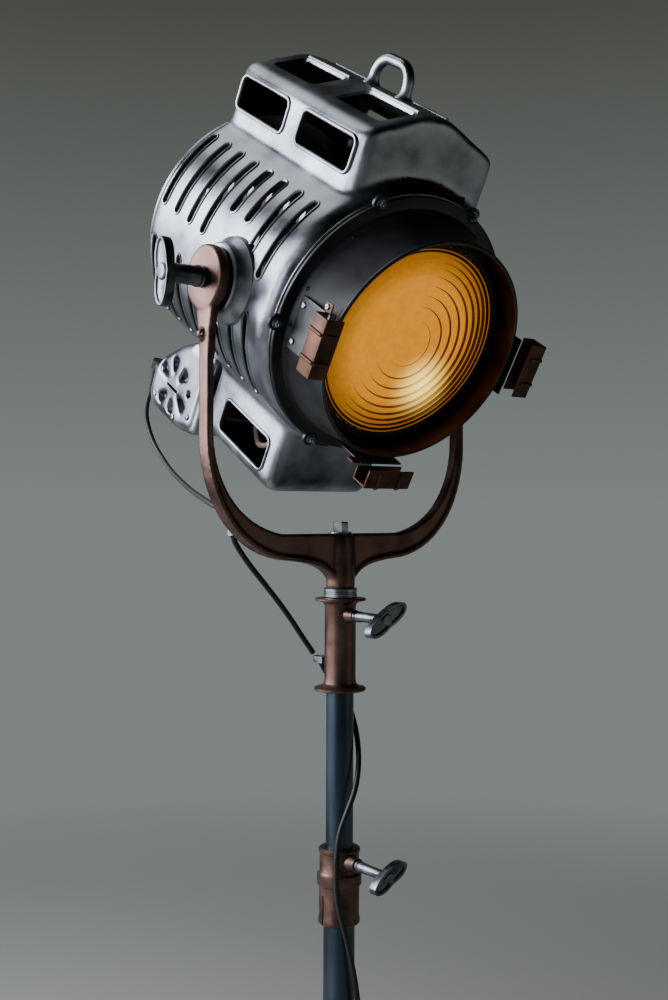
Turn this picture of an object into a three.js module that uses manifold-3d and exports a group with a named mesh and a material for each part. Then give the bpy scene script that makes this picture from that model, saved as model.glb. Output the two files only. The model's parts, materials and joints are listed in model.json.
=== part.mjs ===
// Studio spotlight on a folding tripod stand. Millimetres, +Z up, the lamp looks along -Y.
// Driving dimensions come first. Every piece takes its size and place from them and from named clearances.
import * as THREE from "three";
import { mergeVertices } from "three/addons/utils/BufferGeometryUtils.js";
import Module from "manifold-3d";

const wasm = await Module();
wasm.setup();

// ---- clearances
const GAP = 0.3; // between pieces that touch
const RUN = 0.6; // radial, round rods, pins and studs that turn or slide

// ---- lamp head, measured from the tilt axis: x across, y to the rear, z up, before the head is tilted
const TILT_HEIGHT = 1725; // tilt axis above the floor
const TILT_DEG = 30.9; // nose down
const DRUM_SIDES = 40; // facets round the drum
const AXIS_RISE = 4; // optical axis above the tilt axis
const LENS_R = 125;
const LENS_RIM = 12; // thickness of the lens at its edge
const LENS_CROWN = 9; // how far the stepped face stands proud
const WALL = 4; // cast wall
const DRUM_R = LENS_R + 46;
const DRUM_FRONT = -92; // where the drum's side turns into its front face
const DRUM_REAR = 230;
const FACE_Y = DRUM_FRONT - 14; // plane of the front face
const SLOT_COUNT = 8;
const SLOT_PITCH = 36.3;
const SLOT_WIDTH = 12;
const SLOT_REAR_Y = 199.5;
const SLOT_TOP_DEG = 42.9;
const SLOT_END_DEG = 9.2;
const SLOT_SHORT_DEG = 24; // lower end of the two slots cut short by the trunnion boss
const SHORT_SLOTS = [4, 5];

const HOOD_HALF = 100;
const HOOD_FRONT = -85;
const HOOD_REAR = 222;
const HOOD_EDGE_RISE = 42; // roof edge above the drum
const HOOD_SPINE_RISE = 72; // spine above the drum
const SPINE_HALF = 20;
const CORNER_R = 26;
const WINDOW_LENGTH = 115;
const WINDOW_HEIGHT = 39;
const WINDOW_SILL = 10; // window foot below the drum's crown
const WINDOW_CENTRES = [-3, 148];

const SKIRT_HALF = 80;
const SKIRT_FRONT = -88;
const SKIRT_REAR = 100;
const SKIRT_DEPTH = 77; // below the drum
const SKIRT_WINDOW_LENGTH = 115;
const SKIRT_WINDOW_HEIGHT = 45;
const SKIRT_WINDOW_FOOT = 19; // window foot above the skirt's floor
const SKIRT_WINDOW_Y = -3;

const BOX_HALF = 80; // terminal box at the lower rear
const BOX_FRONT = SKIRT_REAR + 14;
const BOX_LENGTH = 148;
const BOX_DEPTH = 115; // below the drum
const BOX_WALL = 5;

const SNOOT_LENGTH = 71;
const SNOOT_RIM_R = LENS_R + 12;
const SNOOT_BASE_R = LENS_R + 24;
const SNOOT_WALL = 2.5;
const FLANGE_R = DRUM_R - 6;
const FLANGE_T = 5;
const EAR_DEG = [-3, 62, 112, 177, 242, 292];
const EAR_R = 10;
const LENS_SETBACK = 37; // lens edge behind the snoot's rim
const RING_T = 4;

const CLIP_LENGTH = 74;
const CLIP_DEPTH = 26; // along the optical axis
const CLIP_HEIGHT = 24; // radial
const CLIP_SHEET = 2.5;
const CLIP_LIP = 7; // stand-off from the snoot's wall at the rim
const CLIP_DEG = [0, 180, 270];
const CLIP_NAMES = ["left", "right", "bottom"];

const HANDLE_Y = 45;
const HANDLE_SPAN = 82;
const HANDLE_RISE = 45;
const HANDLE_BAR = 7; // half of the bar's height
const HANDLE_T = 11;

const RAIL_R = 5;
const RAIL_X = 60;
const RAIL_Z = AXIS_RISE + 1 - LENS_R; // level with the inner edge of the face plate
const CARRIAGE_LENGTH = 60;
const CARRIAGE_Y = 60;
const FOCUS_TRAVEL = 40;
const BULB_R = 24;
const REFLECTOR_R = 66;
const ROD_R = 4;
const FOCUS_KNOB_R = 19;

// ---- yoke
const BOSS_R = 43;
const BOSS_T = 18;
const WASHER_T = 3;
const PAD_R = 39;
const PAD_T = 14;
const ARM_T = 12;
const YOKE_WIDTH = 22; // along y
const YOKE_DROP = DRUM_R + 132; // tilt axis to the top of the cross bar
const YOKE_BAR = 32; // height of the cross bar
const YOKE_BEND = 120;
const STUD_R = 6;
const HUB_R = 18.5;
const HUB_NECK = 17; // taper under the cross bar
const HUB_HEIGHT = 20;
const STEEL_RING_R = 21.5;
const STEEL_RING_T = 12;
const SPIGOT_R = 14;
const SPIGOT_LENGTH = 78;

// ---- stand
const TUBE_SIDES = 20; // facets round the tubes and what fits them
const RISER_R = 17.5;
const TUBE_WALL = 2.5;
const SLEEVE_WALL = 2.5;
const SLEEVE_R = RISER_R + SLEEVE_WALL;
const SLEEVE_LENGTH = 118;
const SLEEVE_FLANGE_R = SLEEVE_R + 13;
const SLEEVE_FLANGE_T = 6;
const RISER_SHOW = 199; // bare riser between the sleeve and the clamp
const RISER_LENGTH = 800;
const MAST_WALL = 1.9;
const MAST_R = RISER_R + RUN + MAST_WALL;
const MAST_FOOT = 90;
const CLAMP_R = MAST_R + 6.5;
const CLAMP_HEIGHT = 96;
const CLAMP_NECK = 40; // part of the clamp above the mast
const CROWN_Z = 640; // height of the leg pivots
const CROWN_R = MAST_R + 14;
const CROWN_HEIGHT = 56;
const PIVOT_R = CROWN_R + 12;
const CHEEK_T = 7;
const TONGUE_T = 10;
const PIN_R = 4;
const LEG_R = 12.5;
const LEG_REACH = 480;
const LEG_DEG = [-90, 30, 150];
const FOOT_R = 21;
const FOOT_HEIGHT = 26;
const BRACE_LENGTH = 250;
const BRACE_T = 4;
const BRACE_HALF = 8;
const SLIDER_HEIGHT = 36;

// ---- wing knobs: shank radius, shank length, wing length, wing width, wing thickness
const TILT_KNOB = { shankR: 13, shank: 44, wing: 82, width: 34, thick: 13 };
const PAN_KNOB = { shankR: 7, shank: 52, wing: 68, width: 26, thick: 12 };
const HEIGHT_KNOB = { shankR: 7, shank: 52, wing: 58, width: 24, thick: 12 };

// ---- mains cord
const CORD_R = 3.5;
const COIL_MID_R = 38.5;
const COIL_COLUMNS = 3;
const COIL_LAYERS = 2;
const COIL_ACROSS = 206; // coil centre, to the right of the view line from the pole's axis
const COIL_TOWARDS = -8.4;
const COIL_FOOT = 0.2;

// ---- derived places
const FLANGE_FRONT = FACE_Y - GAP - FLANGE_T;
const RIM_Y = FLANGE_FRONT - SNOOT_LENGTH;
const LENS_FRONT = RIM_Y + LENS_SETBACK;
const HOOD_EDGE_Z = AXIS_RISE + DRUM_R + HOOD_EDGE_RISE;
const HOOD_SPINE_Z = AXIS_RISE + DRUM_R + HOOD_SPINE_RISE;
const WINDOW_FOOT_Z = AXIS_RISE + DRUM_R - WINDOW_SILL;
const SKIRT_Z = AXIS_RISE - DRUM_R - SKIRT_DEPTH;
const BOX_Z = AXIS_RISE - DRUM_R - BOX_DEPTH;
const BOX_REAR = BOX_FRONT + BOX_LENGTH;
const PAD_IN = DRUM_R + BOSS_T + GAP + WASHER_T + GAP;
const PAD_OUT = PAD_IN + PAD_T;
const BAR_FOOT = -YOKE_DROP - YOKE_BAR;
const HUB_FOOT = BAR_FOOT - HUB_NECK - HUB_HEIGHT;
const SLEEVE_TOP = TILT_HEIGHT + HUB_FOOT - STEEL_RING_T - 2 * GAP;
const SLEEVE_FOOT = SLEEVE_TOP - SLEEVE_LENGTH;
const CLAMP_TOP = SLEEVE_FOOT - RISER_SHOW;
const CLAMP_FOOT = CLAMP_TOP - CLAMP_HEIGHT;
const MAST_TOP = CLAMP_TOP - CLAMP_NECK;
const LEG_RAD = Math.atan2(LEG_REACH - PIVOT_R, CROWN_Z - FOOT_HEIGHT / 2);
const LEG_LENGTH = Math.hypot(LEG_REACH - PIVOT_R, CROWN_Z - FOOT_HEIGHT / 2);
const SLIDER_Z = CROWN_Z - 2 * BRACE_LENGTH * Math.cos(LEG_RAD);

// ---- finishes
const finish = (color, roughness, metalness) =>
  new THREE.MeshStandardMaterial({ color, roughness, metalness });
const CAST_ALUMINIUM = finish(0x6d7176, 0.35, 1);
const DARK_ALUMINIUM = finish(0x2b2d2f, 0.5, 1);
const BRONZE = finish(0x6e4f40, 0.5, 1);
const COPPER_SHEET = finish(0x5a4238, 0.55, 1);
const STEEL = finish(0x8f959a, 0.35, 1);
const BLUED_STEEL = finish(0x3c4650, 0.45, 1);
const AMBER_GLASS = finish(0xd98c1c, 0.15, 0);
const CLEAR_GLASS = finish(0xf2eee4, 0.05, 0);
const CERAMIC = finish(0xe6e0d2, 0.6, 0);
const RUBBER = finish(0x161616, 0.8, 0);
const GASKET = finish(0x9a917f, 0.9, 0);
const REFLECTIVE = finish(0xd8dadc, 0.1, 1);

// ---- solids
const rad = THREE.MathUtils.degToRad;

// A closed geometry as a solid. A profile drawn the other way round is turned to face out.
function solid(geometry) {
  const g = geometry.index ? geometry.toNonIndexed() : geometry.clone();
  g.deleteAttribute("normal");
  g.deleteAttribute("uv");
  const merged = mergeVertices(g, 1e-4);
  const vertProperties = merged.attributes.position.array;
  const triVerts = new Uint32Array(merged.index.array);
  const build = (tris) => new wasm.Manifold(new wasm.Mesh({ numProp: 3, vertProperties, triVerts: tris }));
  const made = build(triVerts);
  if (made.volume() > 0) return made;
  for (let i = 0; i < triVerts.length; i += 3) {
    [triVerts[i + 1], triVerts[i + 2]] = [triVerts[i + 2], triVerts[i + 1]];
  }
  return build(triVerts);
}

const join = (first, ...rest) => rest.reduce((sum, next) => sum.add(next), first);
const cut = (first, ...rest) => rest.reduce((sum, next) => sum.subtract(next), first);

function geometryOf(made) {
  const m = made.getMesh();
  const position = new Float32Array(m.numVert * 3);
  for (let i = 0; i < m.numVert; i++) {
    position.set(m.vertProperties.subarray(i * m.numProp, i * m.numProp + 3), i * 3);
  }
  const g = new THREE.BufferGeometry();
  g.setAttribute("position", new THREE.BufferAttribute(position, 3));
  g.setIndex(new THREE.BufferAttribute(new Uint32Array(m.triVerts), 1));
  return g;
}

function block(x0, x1, y0, y1, z0, z1) {
  const g = new THREE.BoxGeometry(x1 - x0, y1 - y0, z1 - z0);
  return solid(g.translate((x0 + x1) / 2, (y0 + y1) / 2, (z0 + z1) / 2));
}

// A round bar between two values along an axis, centred on the other two coordinates.
function bar(axis, from, to, r, u = 0, v = 0, sides = 16) {
  const g = new THREE.CylinderGeometry(r, r, Math.abs(to - from), sides);
  const mid = (from + to) / 2;
  if (axis === "x") return solid(g.rotateZ(Math.PI / 2).translate(mid, u, v));
  if (axis === "y") return solid(g.translate(u, mid, v));
  return solid(g.rotateX(Math.PI / 2).translate(u, v, mid));
}

// A turned piece: points are [radius, place along the axis].
function turned(axis, points, u = 0, v = 0, sides = 28) {
  const g = new THREE.LatheGeometry(points.map(([r, h]) => new THREE.Vector2(r, h)), sides);
  if (axis === "x") return solid(g.rotateZ(-Math.PI / 2).translate(0, u, v));
  if (axis === "y") return solid(g.translate(u, 0, v));
  return solid(g.rotateX(Math.PI / 2).translate(u, v, 0));
}

function outline(points) {
  return new THREE.Shape(points.map(([x, y]) => new THREE.Vector2(x, y)));
}

// A flat outline in x and z, pushed along y.
function plateXZ(shape, y0, y1, curveSegments = 6) {
  const g = new THREE.ExtrudeGeometry(shape, { depth: y1 - y0, bevelEnabled: false, curveSegments });
  return solid(g.rotateX(Math.PI / 2).translate(0, y1, 0));
}

function rounded(x0, x1, z0, z1, r) {
  const s = new THREE.Shape();
  s.moveTo(x0 + r, z0);
  s.lineTo(x1 - r, z0);
  s.absarc(x1 - r, z0 + r, r, -Math.PI / 2, 0);
  s.lineTo(x1, z1 - r);
  s.absarc(x1 - r, z1 - r, r, 0, Math.PI / 2);
  s.lineTo(x0 + r, z1);
  s.absarc(x0 + r, z1 - r, r, Math.PI / 2, Math.PI);
  s.lineTo(x0, z0 + r);
  s.absarc(x0 + r, z0 + r, r, Math.PI, Math.PI * 1.5);
  return s;
}

// A place on a circle about the optical axis: 0 degrees is the lamp's left side, 90 the top.
function onCircle(r, degrees) {
  return [-r * Math.cos(rad(degrees)), AXIS_RISE + r * Math.sin(rad(degrees))];
}

const lamp = new THREE.Group();
const head = new THREE.Group();
head.position.z = TILT_HEIGHT;
head.rotation.x = rad(TILT_DEG);
const yoke = new THREE.Group();
yoke.position.z = TILT_HEIGHT;
lamp.add(head, yoke);

function piece(parent, name, made, material) {
  const mesh = new THREE.Mesh(geometryOf(made), material);
  mesh.name = name;
  parent.add(mesh);
  return mesh;
}

// ---- drum: an open cast barrel with cooling slots, and openings under the hood and over the skirt
function slotCutter(side, upper, index) {
  const low = SHORT_SLOTS.includes(index) ? SLOT_SHORT_DEG : SLOT_END_DEG;
  const from = rad(low);
  const to = rad(SLOT_TOP_DEG);
  const steps = 2;
  const outer = [];
  const inner = [];
  for (let i = 0; i <= steps; i++) {
    const a = from + ((to - from) * i) / steps;
    outer.push([(DRUM_R + 12) * Math.cos(a), (DRUM_R + 12) * Math.sin(a)]);
    inner.unshift([(DRUM_R - 12) * Math.cos(a), (DRUM_R - 12) * Math.sin(a)]);
  }
  const points = [...outer, ...inner].map(([x, z]) => [side * x, AXIS_RISE + (upper ? z : -z)]);
  const y = SLOT_REAR_Y - index * SLOT_PITCH;
  return plateXZ(outline(points), y - SLOT_WIDTH / 2, y + SLOT_WIDTH / 2, 1);
}

function drum() {
  const rear = DRUM_REAR;
  const lip = 18; // turned-in lips at the front and rear
  const shell = turned(
    "y",
    [
      [DRUM_R - lip, rear],
      [DRUM_R - 5, rear - 5],
      [DRUM_R, rear - 18],
      [DRUM_R, DRUM_FRONT],
      [DRUM_R - 5, DRUM_FRONT - 9],
      [DRUM_R - lip, FACE_Y],
      [DRUM_R - lip, FACE_Y + WALL],
      [DRUM_R - WALL, DRUM_FRONT],
      [DRUM_R - WALL, rear - 18],
      [DRUM_R - lip, rear - WALL],
      [DRUM_R - lip, rear],
    ],
    0,
    AXIS_RISE,
    DRUM_SIDES,
  );
  const cutters = [];
  for (const side of [-1, 1]) {
    for (const upper of [true, false]) {
      for (let i = 0; i < SLOT_COUNT; i++) cutters.push(slotCutter(side, upper, i));
    }
  }
  const throat = block(
    -HOOD_HALF + 14,
    HOOD_HALF - 14,
    HOOD_FRONT + 14,
    HOOD_REAR - 14,
    AXIS_RISE,
    HOOD_SPINE_Z,
  );
  const sump = block(
    -SKIRT_HALF + 12,
    SKIRT_HALF - 12,
    SKIRT_FRONT + 12,
    SKIRT_REAR - 12,
    SKIRT_Z,
    AXIS_RISE,
  );
  const cableWay = bar("z", AXIS_RISE - DRUM_R - 20, AXIS_RISE - DRUM_R + 20, 8, 0, BOX_FRONT + 30);
  return cut(shell, ...cutters, throat, sump, cableWay);
}

// ---- hood: a gabled chimney with a spine, side windows and roof openings
function hoodOutline(inset) {
  const half = HOOD_HALF - inset;
  const edge = HOOD_EDGE_Z - inset;
  const spine = HOOD_SPINE_Z - inset;
  return outline([
    [-half, AXIS_RISE + 60],
    [half, AXIS_RISE + 60],
    [half, edge - 14],
    [half - 14, edge],
    [SPINE_HALF - inset / 2, spine],
    [-SPINE_HALF + inset / 2, spine],
    [-half + 14, edge],
    [-half, edge - 14],
  ]);
}

// Cutter that rounds the upright corners of a box seen from above.
function cornerFrame(half, y0, y1, r, zLow, zHigh) {
  const g = new THREE.ExtrudeGeometry(rounded(-half, half, y0, y1, r), {
    depth: zHigh - zLow,
    bevelEnabled: false,
    curveSegments: 4,
  });
  return solid(g.translate(0, 0, zLow));
}

function hood() {
  const z0 = AXIS_RISE + 50;
  const z1 = HOOD_SPINE_Z + 10;
  const outside = plateXZ(hoodOutline(0), HOOD_FRONT, HOOD_REAR).intersect(
    cornerFrame(HOOD_HALF, HOOD_FRONT, HOOD_REAR, CORNER_R, z0, z1),
  );
  const inside = plateXZ(hoodOutline(WALL), HOOD_FRONT + WALL, HOOD_REAR - WALL).intersect(
    cornerFrame(HOOD_HALF - WALL, HOOD_FRONT + WALL, HOOD_REAR - WALL, CORNER_R - WALL, z0, z1),
  );
  const barrel = bar("y", HOOD_FRONT - 20, HOOD_REAR + 20, DRUM_R + GAP, 0, AXIS_RISE, DRUM_SIDES);
  const windows = WINDOW_CENTRES.map((y) =>
    block(
      -HOOD_HALF - 5,
      HOOD_HALF + 5,
      y - WINDOW_LENGTH / 2,
      y + WINDOW_LENGTH / 2,
      WINDOW_FOOT_Z,
      WINDOW_FOOT_Z + WINDOW_HEIGHT,
    ),
  );
  const roof = WINDOW_CENTRES.flatMap((y) =>
    [-1, 1].map((side) => {
      const x0 = side * (SPINE_HALF + 6);
      const x1 = side * (HOOD_HALF - 24);
      return block(
        Math.min(x0, x1),
        Math.max(x0, x1),
        y - WINDOW_LENGTH / 2 + 4,
        y + WINDOW_LENGTH / 2 - 4,
        WINDOW_FOOT_Z + WINDOW_HEIGHT + 3,
        HOOD_SPINE_Z + 5,
      );
    }),
  );
  return cut(outside, inside, barrel, ...windows, ...roof);
}

// ---- skirt: the matching box below, with one window a side
function skirt() {
  const top = AXIS_RISE - 60;
  const outside = cornerFrame(SKIRT_HALF, SKIRT_FRONT, SKIRT_REAR, CORNER_R - 6, SKIRT_Z, top);
  const inside = cornerFrame(
    SKIRT_HALF - WALL,
    SKIRT_FRONT + WALL,
    SKIRT_REAR - WALL,
    CORNER_R - 6 - WALL,
    SKIRT_Z + WALL,
    top + 5,
  );
  const barrel = bar("y", SKIRT_FRONT - 20, SKIRT_REAR + 20, DRUM_R + GAP, 0, AXIS_RISE, DRUM_SIDES);
  const foot = SKIRT_Z + SKIRT_WINDOW_FOOT;
  const window = block(
    -SKIRT_HALF - 5,
    SKIRT_HALF + 5,
    SKIRT_WINDOW_Y - SKIRT_WINDOW_LENGTH / 2,
    SKIRT_WINDOW_Y + SKIRT_WINDOW_LENGTH / 2,
    foot,
    foot + SKIRT_WINDOW_HEIGHT,
  );
  return cut(outside, inside, barrel, window);
}

piece(head, "drum_housing", drum(), CAST_ALUMINIUM);
piece(head, "chimney_hood", hood(), CAST_ALUMINIUM);
piece(head, "lower_skirt", skirt(), CAST_ALUMINIUM);

// ---- terminal box under the rear of the drum, open at the rear below its lid
function terminalBox() {
  const top = AXIS_RISE - 90;
  const outside = cornerFrame(BOX_HALF, BOX_FRONT, BOX_REAR, 14, BOX_Z, top);
  const inside = block(
    -BOX_HALF + BOX_WALL,
    BOX_HALF - BOX_WALL,
    BOX_FRONT + BOX_WALL,
    BOX_REAR - BOX_WALL,
    BOX_Z + BOX_WALL,
    BOX_Z + BOX_DEPTH - 20,
  );
  const barrel = bar("y", BOX_FRONT - 20, BOX_REAR + 20, DRUM_R + GAP, 0, AXIS_RISE, DRUM_SIDES);
  const cableWay = bar("z", AXIS_RISE - DRUM_R - 40, AXIS_RISE - DRUM_R + 20, 8, 0, BOX_FRONT + 30);
  const fingers = [-1, 1].flatMap((side) =>
    [0, 1].map((row) => {
      const x0 = side * (BOX_HALF - 2);
      const x1 = side * (BOX_HALF + 5);
      const y = BOX_FRONT + 48 + row * 52;
      return block(Math.min(x0, x1), Math.max(x0, x1), y - 18, y + 18, BOX_Z + 26, BOX_Z + 84);
    }),
  );
  return cut(outside, inside, barrel, cableWay, ...fingers);
}

const GLAND_X = -BOX_HALF + 12;
const GLAND_Y = BOX_REAR + GAP + 11;
const GLAND_Z = BOX_Z + 30;
piece(head, "terminal_box", terminalBox(), CAST_ALUMINIUM);
piece(
  head,
  "cable_gland",
  join(
    block(GLAND_X - 11, GLAND_X + 11, BOX_REAR + GAP, GLAND_Y + 9, GLAND_Z, GLAND_Z + 26),
    turned(
      "z",
      [
        [0, GLAND_Z - 26],
        [CORD_R + 1, GLAND_Z - 26],
        [CORD_R + 3.5, GLAND_Z],
        [CORD_R + 3.5, GLAND_Z + 2],
        [0, GLAND_Z + 2],
      ],
      GLAND_X,
      GLAND_Y,
      16,
    ),
  ),
  RUBBER,
);

// ---- rear cover with vents, and the front face plate
function rearCover() {
  const seat = DRUM_REAR + GAP;
  const lip = DRUM_R - 18 - GAP;
  const disc = turned(
    "y",
    [
      [0, seat + 5],
      [lip - 32, seat + 5],
      [lip - 6, seat],
      [lip - 6, seat - 8],
      [lip, seat - 8],
      [lip, seat],
      [lip + 10, seat],
      [lip + 8, seat + 5],
      [lip - 30, seat + 9],
      [0, seat + 9],
    ],
    0,
    AXIS_RISE,
    DRUM_SIDES,
  );
  const vents = [-50, -25, 0, 25, 50].map((z) => block(-60, 60, seat - 20, seat + 20, z - 4, z + 4));
  const rodHole = bar("y", seat - 20, seat + 20, ROD_R + RUN, 0, RAIL_Z, 16);
  return cut(disc, ...vents, rodHole);
}

function facePlate() {
  const outer = DRUM_R - 18 - GAP;
  return turned(
    "y",
    [
      [LENS_R + 8, FACE_Y],
      [outer, FACE_Y],
      [outer, FACE_Y + 5],
      [LENS_R + 8, FACE_Y + 5],
      [LENS_R + 8, FACE_Y],
    ],
    0,
    AXIS_RISE,
    DRUM_SIDES,
  );
}

piece(head, "rear_cover", rearCover(), CAST_ALUMINIUM);
piece(head, "front_face_plate", facePlate(), DARK_ALUMINIUM);

// ---- snoot with its eared flange
function snoot() {
  const cone = turned(
    "y",
    [
      [LENS_R + 14, FLANGE_FRONT + FLANGE_T],
      [FLANGE_R, FLANGE_FRONT + FLANGE_T],
      [FLANGE_R, FLANGE_FRONT],
      [SNOOT_BASE_R + 3, FLANGE_FRONT],
      [SNOOT_BASE_R, FLANGE_FRONT - 5],
      [SNOOT_RIM_R + 1, RIM_Y + 3],
      [SNOOT_RIM_R + 2, RIM_Y],
      [SNOOT_RIM_R - SNOOT_WALL, RIM_Y],
      [SNOOT_BASE_R - SNOOT_WALL, FLANGE_FRONT - 3],
      [LENS_R + 14, FLANGE_FRONT],
      [LENS_R + 14, FLANGE_FRONT + FLANGE_T],
    ],
    0,
    AXIS_RISE,
    32,
  );
  const ears = EAR_DEG.map((a) => {
    const [x, z] = onCircle(FLANGE_R, a);
    return bar("y", FLANGE_FRONT, FLANGE_FRONT + FLANGE_T, EAR_R, x, z, 12);
  });
  return join(cone, ...ears);
}

piece(head, "snoot", snoot(), DARK_ALUMINIUM);

// ---- lens, its seat ring, gasket and retaining ring, inside the snoot
const SEAT_IN = LENS_R - 3;
const HOLDER_R = LENS_R + 6;
piece(
  head,
  "fresnel_lens",
  turned(
    "y",
    [
      [0, LENS_FRONT + LENS_RIM],
      [LENS_R, LENS_FRONT + LENS_RIM],
      [LENS_R, LENS_FRONT],
      [LENS_R * 0.8, LENS_FRONT - LENS_CROWN * 0.3],
      [LENS_R * 0.5, LENS_FRONT - LENS_CROWN * 0.7],
      [0, LENS_FRONT - LENS_CROWN],
    ],
    0,
    AXIS_RISE,
  ),
  AMBER_GLASS,
);
const ring = (inner, outer, y0, y1, sides = 28) =>
  turned(
    "y",
    [
      [inner, y0],
      [outer, y0],
      [outer, y1],
      [inner, y1],
      [inner, y0],
    ],
    0,
    AXIS_RISE,
    sides,
  );
const GASKET_Y = LENS_FRONT + LENS_RIM + GAP;
const SEAT_Y = GASKET_Y + 2 + GAP;
piece(head, "lens_gasket", ring(SEAT_IN, LENS_R, GASKET_Y, GASKET_Y + 2), GASKET);
piece(
  head,
  "lens_holder",
  join(ring(SEAT_IN, HOLDER_R, SEAT_Y, SEAT_Y + RING_T), ring(HOLDER_R - 3, HOLDER_R, SEAT_Y, FACE_Y - GAP)),
  DARK_ALUMINIUM,
);
piece(
  head,
  "lens_retaining_ring",
  ring(LENS_R + GAP, HOLDER_R, LENS_FRONT, SEAT_Y - GAP),
  DARK_ALUMINIUM,
);

// ---- filter clips: a bent bracket on the snoot's side and a channel in front of the rim
function clipFrame(index) {
  const g = new THREE.Group();
  g.position.set(0, 0, AXIS_RISE);
  g.rotation.y = rad(CLIP_DEG[index]);
  head.add(g);
  return g;
}

// Built on the left side, where the radial direction is -x and the length runs along z.
const CLIP_IN = SNOOT_RIM_R + 2 + CLIP_LIP;
const CLIP_REAR = RIM_Y + 4;
const CLIP_FRONT = CLIP_REAR - CLIP_DEPTH;
CLIP_NAMES.forEach((name, i) => {
  const frame = clipFrame(i);
  const half = CLIP_LENGTH / 2;
  const outside = block(-CLIP_IN - CLIP_HEIGHT, -CLIP_IN, CLIP_FRONT, CLIP_REAR, -half, half);
  const hollow = block(
    -CLIP_IN - CLIP_HEIGHT + CLIP_SHEET,
    -CLIP_IN + 1,
    CLIP_FRONT + CLIP_SHEET,
    CLIP_REAR - CLIP_SHEET,
    -half - 1,
    half + 1,
  );
  const channel = cut(outside, hollow);
  const side = block(-CLIP_IN - 3, -CLIP_IN, CLIP_REAR - CLIP_SHEET, CLIP_REAR + 34, -30, 30);
  const foot = block(-CLIP_IN, -SNOOT_RIM_R - 4, CLIP_REAR + 24, CLIP_REAR + 34, -30, 30);
  const clear = turned(
    "y",
    [
      [0, RIM_Y - 20],
      [SNOOT_RIM_R + 2 + GAP, RIM_Y - 20],
      [SNOOT_RIM_R + 2 + GAP, RIM_Y],
      [SNOOT_BASE_R + GAP + 0.6, FLANGE_FRONT - 5],
      [SNOOT_BASE_R + GAP + 0.6, FLANGE_FRONT],
      [0, FLANGE_FRONT],
    ],
    0,
    0,
    32,
  );
  piece(frame, `filter_clip_${name}`, join(channel, cut(join(side, foot), clear)), COPPER_SHEET);
});

// ---- loop handle on the spine
function handle() {
  const y0 = HANDLE_Y - HANDLE_SPAN / 2;
  const y1 = HANDLE_Y + HANDLE_SPAN / 2;
  const z0 = HOOD_SPINE_Z + GAP;
  const z1 = z0 + HANDLE_RISE;
  const loop = (grow, foot) => {
    const r = HANDLE_RISE * 0.62 - grow;
    const s = new THREE.Shape();
    s.moveTo(y0 + grow, foot);
    s.lineTo(y1 - grow, foot);
    s.lineTo(y1 - grow, z1 - grow - r);
    s.absarc(y1 - grow - r, z1 - grow - r, r, 0, Math.PI / 2);
    s.lineTo(y0 + grow + r, z1 - grow);
    s.absarc(y0 + grow + r, z1 - grow - r, r, Math.PI / 2, Math.PI);
    const g = new THREE.ExtrudeGeometry(s, { depth: HANDLE_T, bevelEnabled: false, curveSegments: 5 });
    return solid(g.rotateX(Math.PI / 2).rotateZ(Math.PI / 2).translate(-HANDLE_T / 2, 0, 0));
  };
  const outer = loop(0, z0);
  const inner = loop(2 * HANDLE_BAR - 3, z0 + 6);
  return cut(outer, inner);
}
piece(head, "carry_handle", handle(), STEEL);

// ---- trunnion bosses on the drum
for (const [name, side] of [
  ["left", -1],
  ["right", 1],
]) {
  const face = DRUM_R + BOSS_T;
  const body = bar("x", side * (DRUM_R - 40), side * face, BOSS_R, 0, 0, 24);
  const barrel = bar("y", -80, 80, DRUM_R + GAP, 0, AXIS_RISE, DRUM_SIDES);
  const hole = bar("x", side * (DRUM_R - 60), side * (face + 10), STUD_R + RUN, 0, 0, 16);
  piece(head, `trunnion_boss_${name}`, cut(body, barrel, hole), DARK_ALUMINIUM);
}

// ---- focus carriage on two rails, with the lampholder, bulb and reflector
const RAIL_FRONT = FACE_Y + 5 + GAP;
const RAIL_REAR = DRUM_REAR - 2;
for (const [name, side] of [
  ["left", -1],
  ["right", 1],
]) {
  piece(head, `focus_rail_${name}`, bar("y", RAIL_FRONT, RAIL_REAR - GAP, RAIL_R, side * RAIL_X, RAIL_Z, 12), STEEL);
}

const CARRIAGE_TOP = RAIL_Z + 12;
const SOCKET_TOP = AXIS_RISE - 62;
function carriage() {
  const y0 = CARRIAGE_Y - CARRIAGE_LENGTH / 2;
  const y1 = CARRIAGE_Y + CARRIAGE_LENGTH / 2;
  const sled = block(-RAIL_X - 12, RAIL_X + 12, y0, y1, RAIL_Z - 12, CARRIAGE_TOP);
  const holes = [-1, 1].map((s) => bar("y", y0 - 5, y1 + 5, RAIL_R + RUN, s * RAIL_X, RAIL_Z, 12));
  const rodSeat = bar("y", y1 - 20, y1 + 5, ROD_R + GAP, 0, RAIL_Z, 16);
  const arm = block(-10, 10, y1 - 5, y1, CARRIAGE_TOP - 2, AXIS_RISE - REFLECTOR_R + 8);
  return join(cut(sled, ...holes, rodSeat), arm);
}
piece(head, "focus_carriage", carriage(), STEEL);
piece(head, "lampholder", bar("z", CARRIAGE_TOP + GAP, SOCKET_TOP, 23, 0, CARRIAGE_Y - 8, 24), CERAMIC);
piece(
  head,
  "bulb",
  turned(
    "z",
    [
      [0, SOCKET_TOP + GAP],
      [15, SOCKET_TOP + GAP],
      [15, SOCKET_TOP + 18],
      [BULB_R, SOCKET_TOP + 34],
      [BULB_R, AXIS_RISE + 30],
      [BULB_R * 0.7, AXIS_RISE + 46],
      [0, AXIS_RISE + 52],
    ],
    0,
    CARRIAGE_Y - 8,
    24,
  ),
  CLEAR_GLASS,
);
const DISH_Y = CARRIAGE_Y + CARRIAGE_LENGTH / 2 + GAP + 22;
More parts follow.
